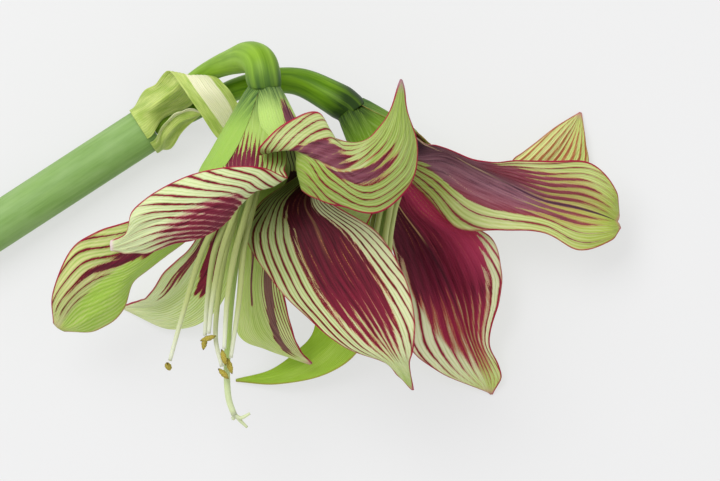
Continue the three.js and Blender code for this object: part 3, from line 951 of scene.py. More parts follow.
@dataclass
class Blade(Piece):
    """A thin leaf-like piece on the smooth surface through rows of points."""

    slot: Slot = Slot.TEPAL
    finish: Finish = TepalFinish()
    stations: tuple[Station, ...] = ()
    marks: Marks = Marks()
    steps_along: int = 9
    steps_across: int = 84
    ripple: float = 0.25
    rim_width: float = 0.75
    pinch: tuple[float, float] = (0, 0)
    waist: float = 0.5
    tuck: float = 0.0
    claw_rows: int = 4

    def rows(self) -> np.ndarray:
        """Gives the rows of five points that carry the blade."""
        raise NotImplementedError

    def form(self) -> Form:
        """Shapes both faces and the rim between them.

        Returns:
            Points, faces and the numbers that the finish reads.
        """
        rows = self.rows()
        last = len(rows) - 1
        u = np.linspace(0, 1, self.steps_along * last + 1)
        v = np.linspace(0, 1, self.steps_across + 1)
        normal = self.normals(rows, u, v)
        station, across = np.meshgrid(u * last - self.claw_rows, v * 2 - 1, indexing="ij")
        middle = self.pinched(self.surface(rows, u, v), station)
        middle = middle + normal * self.relief(station, across)[..., None]
        half = self.thickness(station, across)[..., None] / 2
        points = np.concatenate([(middle + normal * half * face.value).reshape(-1, 3) for face in Face])
        return points, self.faces(len(u), len(v)), self.layers(middle, station, across)

    def pinched(self, middle: np.ndarray, station: np.ndarray) -> np.ndarray:
        """Narrows the blade before its tip, and draws its right margin in where it is tucked.

        Args:
            middle: The surface's points.
            station: How far along the blade each one is.

        Returns:
            The points after it.
        """
        half = middle.shape[1] // 2
        rib = middle[:, half, None]
        waist = station.max() - self.waist
        sides = np.where(np.arange(middle.shape[1]) < half, *self.pinch)
        narrow = sides * smooth(station, waist - 0.9, waist) * (1 - smooth(station, waist, waist + 0.6))
        tucked = smooth(station, -1.4, -0.4) * (1 - smooth(station, 1.6, 3))
        narrow[:, half:] += self.tuck * tucked[:, half:]
        return rib + (middle - rib) * (1 - narrow)[..., None]

    @staticmethod
    def surface(rows: np.ndarray, u: np.ndarray, v: np.ndarray) -> np.ndarray:
        """Gives the surface's points for places along and across it."""
        columns = spline(rows, u)
        return np.swapaxes(spline(np.swapaxes(columns, 0, 1), v), 0, 1)

    def normals(self, rows: np.ndarray, u: np.ndarray, v: np.ndarray) -> np.ndarray:
        """Gives the directions square to the surface, on its inner side.

        Args:
            rows: The rows of points that carry the blade.
            u: Places along it, from 0 to 1.
            v: Places across it, from 0 to 1.

        Returns:
            A direction of length one for each point.
        """
        before_u, after_u = np.maximum(u - NUDGE, 0), np.minimum(u + NUDGE, 1)
        before_v, after_v = np.maximum(v - NUDGE, 0), np.minimum(v + NUDGE, 1)
        down = self.surface(rows, after_u, v) - self.surface(rows, before_u, v)
        over = self.surface(rows, u, after_v) - self.surface(rows, u, before_v)
        return unit(np.cross(down, over))

    def relief(self, station: np.ndarray, across: np.ndarray) -> np.ndarray:
        """Gives the folds along the veins, the midrib's groove and the ripple of the margins.

        Args:
            station: How far along the blade each point is.
            across: Where it is between its margins.

        Returns:
            Heights to the inner side, in millimetres.
        """
        opened = smooth(station, -1, 1) * (1 - smooth(station, station.max() - 1, station.max()))
        veins = FOLD_HEIGHT * np.cos(2 * np.pi * self.marks.vein(station, across))
        groove = -GROOVE_DEPTH * np.exp(-((across / RIB_WIDTH) ** 2))
        waves = np.sin(station * 4.1 + 1.3 * across) + 0.6 * np.sin(station * 7.3 + 2)
        return opened * (veins + groove + self.ripple * waves * np.abs(across) ** 3)

    @staticmethod
    def thickness(station: np.ndarray, across: np.ndarray) -> np.ndarray:
        """Thins the blade from its midrib to its margins."""
        grown = 0.4 + 0.6 * smooth(station, station.min(), station.min() + 0.25)
        return BLADE_THICKNESS * (1.15 - 0.75 * np.abs(across) ** 2.5) * grown

    @staticmethod
    def faces(rows: int, columns: int) -> Faces:
        """Joins two grids of points and the rim between them.

        Args:
            rows: The number of rows in each grid.
            columns: The number of columns.

        Returns:
            Faces that point outward all round.
        """
        back = rows * columns
        found = []
        for i in range(rows - 1):
            for j in range(columns - 1):
                a, b = i * columns + j, (i + 1) * columns + j
                found.append((a, b, b + 1, a + 1))
                found.append((back + a, back + a + 1, back + b + 1, back + b))
        top = range(columns - 1)
        right = range(columns - 1, (rows - 1) * columns + columns - 1, columns)
        bottom = range(rows * columns - 1, (rows - 1) * columns, -1)
        left = range((rows - 1) * columns, 0, -columns)
        rim = [*top, *right, *bottom, *left]
        for k, start in enumerate(rim):
            end = rim[(k + 1) % len(rim)]
            found.append((start, end, back + end, back + start))
        return found

    def layers(self, middle: np.ndarray, station: np.ndarray, across: np.ndarray) -> Layers:
        """Gives the numbers that the finish reads, for both faces.

        Args:
            middle: The surface between the faces.
            station: How far along the blade each point is.
            across: Where it is between its margins.

        Returns:
            One array for each number.
        """
        widths = np.linalg.norm(np.diff(middle, axis=1), axis=2)
        reach = np.concatenate((np.zeros((len(widths), 1)), np.cumsum(widths, axis=1)), axis=1)
        sides = zip(self.marks.rim, (reach, reach[:, -1:] - reach))
        left, right = (rim * (1 - smooth(off, self.rim_width * 0.5, self.rim_width)) for rim, off in sides)
        steps = np.linalg.norm(np.diff(middle, axis=0), axis=2).mean(axis=1)
        shared = {
            "along": np.concatenate(((0,), np.cumsum(steps)))[:, None] + 0 * across,
            "reach": reach - reach[:, across.shape[1] // 2, None],
            "rim": np.maximum(left, right) * smooth(station, -1, 0),
        }
        sheets = [self.marks.layers(station, across, face) | shared for face in Face]
        return {key: np.concatenate([sheet[key].ravel() for sheet in sheets]) for key in sheets[0]}


@dataclass(frozen=True)
class Whorl:
    """A whorl's side of the tube, and how far its tepals spread at the ovary and the throat."""

    side: int
    base_spread: float
    throat_spread: float


OUTER = Whorl(1, 54, 34)
INNER = Whorl(-1, 50, 32)
OUTER_B = Whorl(1, 34, 28)
INNER_B = Whorl(-1, 46, 29)


@dataclass
class Tepal(Blade):
    """One tepal: a claw in the tube that opens into its blade."""

    azimuth: float = 0
    whorl: Whorl = OUTER
    claw: float = 0.9
    closed: tuple[float, float] = (0, 0)

    def rows(self) -> np.ndarray:
        """Gives the claw's rows on the cone of the tube, then the stations' rows.

        Returns:
            An array of rows, points and coordinates.
        """
        cone = BLOOMS[self.name[-2]]
        axis, length, up, side = cone.axes()
        first = (SEAT_GAP + BLADE_THICKNESS / 2 - (CLAW_LAP if self.whorl.side > 0 else 0)) / length
        claw = []
        for part in CLAW_PARTS:
            share = first + (self.claw - first) * part
            centre = np.array(cone.base) + axis * length * share
            tube = cone.base_radius + (cone.throat_radius - cone.base_radius) * share
            radius = tube + self.whorl.side * WHORL_OFFSET
            turn = np.where(ACROSS < 0, *(self.spread(closed, share) for closed in self.closed)) * ACROSS
            claw.append(on_circle(centre, up, side, self.azimuth - turn, radius))
        return np.concatenate((claw, station_rows(self.stations, claw[-1][2])))

    def spread(self, closed: float, share: float) -> float:
        """Gives a half's spread in degrees at a share of the tube's length.

        Args:
            closed: The spread that closes the tube at the ovary, or 0 to follow the whorl.
            share: How far along the tube, from 0 at the ovary to 1 at the throat.

        Returns:
            The angle between the midrib and the margin.
        """
        throat = self.whorl.throat_spread
        if closed:
            return throat + (closed - throat) * max(1 - share / self.claw, 0) ** 0.6
        return throat + (self.whorl.base_spread - throat) * (1 - share)

    def relief(self, station: np.ndarray, across: np.ndarray) -> np.ndarray:
        """Adds the claw's margins, which lie down on the whorl beneath.

        Args:
            station: How far along the blade each point is.
            across: Where it is between its margins.

        Returns:
            Heights to the inner side, in millimetres.
        """
        margin = smooth(np.abs(across), 0.35, 1) * (1 - smooth(station, -1.4, -0.2))
        sunk = MARGIN_SINK if self.whorl.side > 0 else 0
        return super().relief(station, across) + sunk * margin


@dataclass
class Valve(Blade):
    """One valve of the spathe: a collar round the scape's end that follows its stations."""

    slot: Slot = Slot.SPATHE
    finish: Finish = SpatheFinish()
    bearing: float = 0
    spread: float = 40
    claw_rows: int = 2

    def __post_init__(self) -> None:
        """Bleaches the back where the front is bleached."""
        self.marks = replace(self.marks, back_bands=self.marks.bands)

    def rows(self) -> np.ndarray:
        """Gives the collar's rows, then the stations' rows.

        Returns:
            An array of rows, points and coordinates.
        """
        radius = SCAPE_RADIUS + 2 * SEAT_GAP + BLADE_THICKNESS / 2
        collar = []
        for distance in (-VALVE_BASE_SETBACK, -VALVE_BASE_SETBACK / 2):
            centre = UMBEL + SCAPE_ALONG * distance
            azimuth = self.bearing + ACROSS * self.spread
            collar.append(on_circle(centre, SCAPE_ACROSS, UPRIGHT, azimuth, radius))
        return np.concatenate((collar, station_rows(self.stations, collar[-1][2])))


@dataclass
class Tube(Piece):
    """A round stem along a curve."""

    finish: Finish = ThreadFinish()
    points: tuple[Point, ...] = ()
    radii: tuple[float, ...] = (1, 1)
    sides: int = 16
    steps: int = 60

    def form(self) -> Form:
        """Shapes the stem."""
        return self.solid(np.array(self.points, float), self.radii, self.steps)

    def solid(self, route: np.ndarray, radii: tuple[float, ...], steps: int) -> Form:
        """Sweeps a ring along a route and closes its ends.

        Args:
            route: The points that the centre line passes through.
            radii: Radii at even lengths along it.
            steps: Rings along it.

        Returns:
            Points, faces and the numbers that the finish reads.
        """
        dense = spline(route, np.linspace(0, 1, 40 * len(route)))
        reach = np.concatenate(((0,), np.cumsum(np.linalg.norm(np.diff(dense, axis=0), axis=1))))
        share = np.linspace(0, 1, steps + 1)
        centres = np.stack([np.interp(share * reach[-1], reach, dense[:, k]) for k in range(3)], axis=1)
        tangents = unit(np.gradient(centres, axis=0))
        width = np.interp(share, np.linspace(0, 1, len(radii)), radii)
        turns = np.linspace(0, 2 * np.pi, self.sides, endpoint=False)
        across = unit(np.cross(tangents[0], ODD_DIRECTION))
        rings = []
        for centre, tangent, radius, part in zip(centres, tangents, width, share):
            across = unit(across - tangent * (across @ tangent))
            ring = np.cos(turns)[:, None] * across + np.sin(turns)[:, None] * np.cross(tangent, across)
            rings.append(centre + (radius * self.profile(turns, part))[:, None] * ring)
        points = np.concatenate((np.concatenate(rings), centres[:1], centres[-1:]))
        n, last = self.sides, steps * self.sides
        foot, head = len(points) - 2, len(points) - 1
        faces = []
        for i in range(steps):
            for j in range(n):
                a, b = i * n + j, i * n + (j + 1) % n
                faces.append((a, b, b + n, a + n))
        for j in range(n):
            faces.append((foot, (j + 1) % n, j))
            faces.append((head, last + j, last + (j + 1) % n))
        shares, angles = np.repeat(share, n), np.tile(turns, steps + 1)
        numbers = {
            "along": (shares * reach[-1], (0, reach[-1])),
            "share": (shares, (0, 1)),
            "around": (angles / (2 * np.pi), (0, 0)),
            "turn_x": (np.cos(angles), (0, 0)),
            "turn_y": (np.sin(angles), (0, 0)),
            "core": (self.dark(shares), (0, 0)),
        }
        return points, faces, {key: np.concatenate(parts) for key, parts in numbers.items()}

    def profile(self, turns: np.ndarray, share: float) -> np.ndarray:
        """Gives the section's swell at each turn, 1 for a round one."""
        return np.ones_like(turns)

    def dark(self, share: np.ndarray) -> np.ndarray:
        """Says where the stem is darker."""
        return np.zeros_like(share)


@dataclass
class Pedicel(Tube):
    """A flower stalk that swells to a three-lobed ovary."""

    slot: Slot = Slot.PEDICEL
    seat: int = 1
    band: float = 0.6
    sides: int = 48
    steps: int = 150

    def __post_init__(self) -> None:
        """Adds the seat on the scape's end face and the shoulder of the ovary."""
        cone = BLOOMS[self.name[-1]]
        axis, base = cone.axes()[0], np.array(cone.base)
        start = UMBEL + UPRIGHT * self.seat * PEDICEL_SPACING / 2
        first = [start + SCAPE_ALONG * SEAT_GAP, start + SCAPE_ALONG * PEDICEL_RADIUS]
        self.points = (*first, *self.points, base - axis * OVARY_SHOULDER, base)
        self.radii = (*self.radii, OVARY_TOP_RADIUS)

    def profile(self, turns: np.ndarray, share: float) -> np.ndarray:
        """Lobes the ovary in three, and rounds its top in under the tube."""
        lobes = OVARY_LOBES * float(smooth(np.array(share), 0.7, 0.9)) * (np.cos(3 * turns) - 1)
        return (1 + lobes) * (1 - OVARY_TAPER * float(smooth(np.array(share), 0.93, 0.99)))

    def dark(self, share: np.ndarray) -> np.ndarray:
        """Darkens the ovary in a band below the bloom."""
        return self.band * smooth(share, 0.86, 0.97)


@dataclass
class Scape(Tube):
    """The cut stem, lying along the surface on a narrow flat."""

    slot: Slot = Slot.SCAPE
    finish: Finish = StemFinish()
    sides: int = 96
    steps: int = 120

    def form(self) -> Form:
        """Shapes the stem, rounds its ends and presses its underside flat.

        Returns:
            Points, faces and the numbers that the finish reads.
        """
        cut = UMBEL - SCAPE_LENGTH * SCAPE_ALONG
        points, faces, layers = self.solid(np.linspace(cut, UMBEL, 6), (SCAPE_RADIUS,) * 2, self.steps)
        places = layers["share"][:-2].reshape(-1, self.sides)[:, 0] * SCAPE_LENGTH
        rounding = SCAPE_RADIUS - UMBEL_FACE_RADIUS
        slim = 1 - rounding / SCAPE_RADIUS * smooth(places, SCAPE_LENGTH - 3 * rounding, SCAPE_LENGTH)
        slim = slim * (1 - CUT_ROUNDING * (1 - smooth(places, 0, 2)))
        centres = (cut + SCAPE_ALONG * places[:, None])[:, None]
        body = centres + (points[:-2].reshape(-1, self.sides, 3) - centres) * slim[:, None, None]
        points = np.concatenate((body.reshape(-1, 3), points[-2:]))
        points[:, 2] = np.maximum(points[:, 2], 0)
        return points, faces, layers


@dataclass
class Filament(Tube):
    """A stamen's filament, from its ring on the ovary."""

    slot: Slot = Slot.FILAMENT
    radii: tuple[float, ...] = (FILAMENT_RADIUS, FILAMENT_RADIUS, FILAMENT_RADIUS, FILAMENT_TIP_RADIUS)


@dataclass
class Style(Tube):
    """A style that ends in a stigma of three curled lobes."""

    slot: Slot = Slot.STYLE
    finish: Finish = ThreadFinish(srgb(140, 166, 76), srgb(168, 192, 104), srgb(206, 216, 172))
    radii: tuple[float, ...] = (STYLE_RADIUS, STYLE_RADIUS, STYLE_TIP_RADIUS)
    lobes: tuple[tuple[Point, ...], ...] = ()

    def form(self) -> Form:
        """Shapes the shaft and its lobes as one piece.

        Returns:
            Points, faces and the numbers that the finish reads.
        """
        points, faces, layers = super().form()
        end, before = (np.array(point, float) for point in (self.points[-1], self.points[-2]))
        root = end + (before - end) * STIGMA_OVERLAP
        slim = (STIGMA_RADIUS, STIGMA_RADIUS, STIGMA_RADIUS * 0.7)
        for lobe in self.lobes:
            more, corners, numbers = self.solid(np.array([root, *lobe], float), slim, LOBE_STEPS)
            numbers["share"] = np.ones_like(numbers["share"])
            faces += [tuple(index + len(points) for index in corner) for corner in corners]
            points = np.concatenate((points, more))
            layers = {key: np.concatenate((layers[key], numbers[key])) for key in layers}
        return points, faces, layers


@dataclass
class Anther(Tube):
    """A slim anther of two pollen sacs that hangs clear of its filament's end."""

    slot: Slot = Slot.ANTHER
    finish: Finish = AntherFinish()
    axis: Point = (0, 0, 1)
    length: float = 6
    sides: int = 28
    steps: int = 36

    def __post_init__(self) -> None:
        """Works the anther's own line and its taper out from its filament's end."""
        tip, before = (np.array(point, float) for point in (self.points[-1], self.points[-2]))
        outward = unit(tip - before)
        direction = unit(np.array(self.axis, float))
        lean = float(outward @ direction)
        reach = math.hypot(self.length / 2 * lean, ANTHER_RADIUS * math.sqrt(max(0.0, 1 - lean * lean)))
        centre = tip + outward * (reach + SEAT_GAP)
        ends = np.linspace(-1, 1, 7)[:, None] * direction * self.length / 2
        self.points = tuple(map(tuple, centre + ends))
        angles = np.linspace(0.06, math.pi - 0.06, 13)
        self.radii = tuple(ANTHER_RADIUS * np.sin(angles) ** 0.8)

    def profile(self, turns: np.ndarray, share: float) -> np.ndarray:
        """Pinches the section between the two sacs and lets its surface be uneven."""
        lumps = 0.09 * np.sin(share * 23 + turns * 3) + 0.05 * np.sin(share * 51 - turns * 5)
        return 0.94 - 0.14 * np.cos(2 * turns) + lumps


@dataclass
class Stamens:
    """The stamens and the style of one bloom."""

    bloom: str

    def seated(self, root: np.ndarray) -> list[np.ndarray]:
        """Gives the first two points of a stem that leaves a place on the ovary's top."""
        axis = BLOOMS[self.bloom].axes()[0]
        return [root + axis * SEAT_GAP, root + axis * STRAIGHT_START]

    def route(self, azimuth: float, way: tuple[Point, ...]) -> tuple:
        """Gives a filament's whole route, from its seat at an azimuth.

        Args:
            azimuth: Where round the ovary it is seated, in degrees.
            way: The points that it passes after its straight start.

        Returns:
            The route's points.
        """
        cone = BLOOMS[self.bloom]
        _, _, up, side = cone.axes()
        root = on_circle(np.array(cone.base), up, side, np.array(azimuth), FILAMENT_RING)
        return (*self.seated(root), *way)

    def pieces(self) -> list[Tube]:
        """Lists the bloom's filaments and anthers.

        Returns:
            The pieces in order, not built yet.
        """
        found: list[Tube] = []
        ways, anthers = self.ways()
        for k, (azimuth, way, (axis, length)) in enumerate(zip(FILAMENT_AZIMUTHS, ways, anthers), 1):
            route = self.route(azimuth, way)
            found.append(Filament(f"filament_{self.bloom}{k}", points=route))
            found.append(Anther(f"anther_{self.bloom}{k}", points=route, axis=axis, length=length))
        return found

    def ways(self) -> tuple[list, list]:
        """Gives each filament's way and each anther's axis and length."""
        raise NotImplementedError


FILAMENTS_A = (
    ((-49.4, 20, 66), (-62, -2, 62), (-70.4, -28, 58), (-76, -48, 54)),
    ((-47, 20, 70.5), (-55, -4, 68), (-59, -24, 65), (-60.4, -37, 61.5)),
    ((-48.5, 20, 61.8), (-58, -4, 60), (-61, -24, 57.5), (-62, -38, 56)),
    ((-45.4, 20, 59.6), (-53.6, -4, 58), (-57.2, -28, 57), (-57.6, -40, 57), (-55.2, -50.4, 56.3)),
    ((-41, 20, 64), (-46.2, -2, 66.5), (-48.3, -24, 63), (-51.6, -46.8, 59.5)),
    ((-43, 20, 71), (-49.6, -4, 69), (-52.8, -22, 66), (-54.2, -43.2, 62.5)),
)
ANTHERS_A = (
    ((0.1, -0.45, -0.88), 6.6),
    ((0.95, 0.3, 0.1), 6.8),
    ((-0.15, -0.98, 0.1), 5.6),
    ((0.7, -0.7, 0.1), 6),
    ((0.3, -0.95, 0.05), 6.8),
    ((0.25, -0.96, 0.1), 6.8),
)
STYLE_A = (
    (-45.4, 20, 66),
    (-49, -4, 63),
    (-51.6, -24, 58.5),
    (-52.8, -40, 55),
    (-53.2, -56, 50.5),
    (-52.4, -64, 49),
    (-50.4, -69.6, 48),
)
STIGMA_A = (
    ((-48, -71, 47.5), (-44, -69.2, 47.5)),
    ((-48.5, -71.5, 46.5), (-45.2, -74.8, 45)),
    ((-50.6, -71.2, 45.5), (-51.2, -71, 42.5)),
)
BUNDLE_B = ((5.2, 41.6, 42), (13.5, 27, 46), (10, 12, 53), (8, 0, 55), (8, -14, 54), (7.5, -27, 51))
BUNDLE_END_B = (8, -34, 48)
BUNDLE_SPREAD_B = 4.4
FILAMENT_SHORTENING_B = 2.5
ANTHER_LENGTH_B = 6.4
STYLE_END_B = (10, -41, 46)
STIGMA_B = (
    ((11.5, -42.5, 45), (13.5, -43.5, 43.5)),
    ((9.5, -43, 44.5), (9, -45, 42.5)),
    ((9, -42, 47.5), (8.6, -43.4, 49.5)),
)


class StamensA(Stamens):
    """Bloom a's stamens, which hang out of its tube one by one."""

    def ways(self) -> tuple[list, list]:
        """Gives each filament's way and each anther's axis and length."""
        return list(FILAMENTS_A), list(ANTHERS_A)

    def style(self) -> Style:
        """Gives the style, which reaches past the stamens."""
        route = (*self.seated(np.array(BLOOMS["a"].base)), *STYLE_A)
        return Style("style_a", points=route, lobes=STIGMA_A)


class StamensB(Stamens):
    """Bloom b's stamens, which keep together as a bundle beneath bloom a."""

    def ways(self) -> tuple[list, list]:
        """Gives each filament's way beside the bundle's centre line, and its anther.

        Returns:
            The ways, and the anthers' axes and lengths.
        """
        centres = np.array((*BUNDLE_B, BUNDLE_END_B), float)
        last = len(centres) - 1
        ways, anthers = [], []
        for k, azimuth in enumerate(FILAMENT_AZIMUTHS):
            way = []
            for n, centre in enumerate(centres):
                before = centres[n - 1] if n > 0 else np.array(BLOOMS["b"].base)
                forward = unit(centres[min(n + 1, last)] - before)
                up = unit(UPRIGHT - forward * forward[2])
                side = np.cross(up, forward)
                radius = FILAMENT_RING + (BUNDLE_SPREAD_B - FILAMENT_RING) * n / last
                back = FILAMENT_SHORTENING_B * (k % 3) if n == last else 0
                way.append(on_circle(centre, up, side, np.array(azimuth), radius) - forward * back)
            ways.append(tuple(way))
            anthers.append((tuple(way[-1] - way[-2]), ANTHER_LENGTH_B))
        return ways, anthers

    def style(self) -> Style:
        """Gives the style, which ends just past the bundle."""
        route = (*self.seated(np.array(BLOOMS["b"].base)), *BUNDLE_B, BUNDLE_END_B, STYLE_END_B)
        return Style("style_b", points=route, lobes=STIGMA_B)


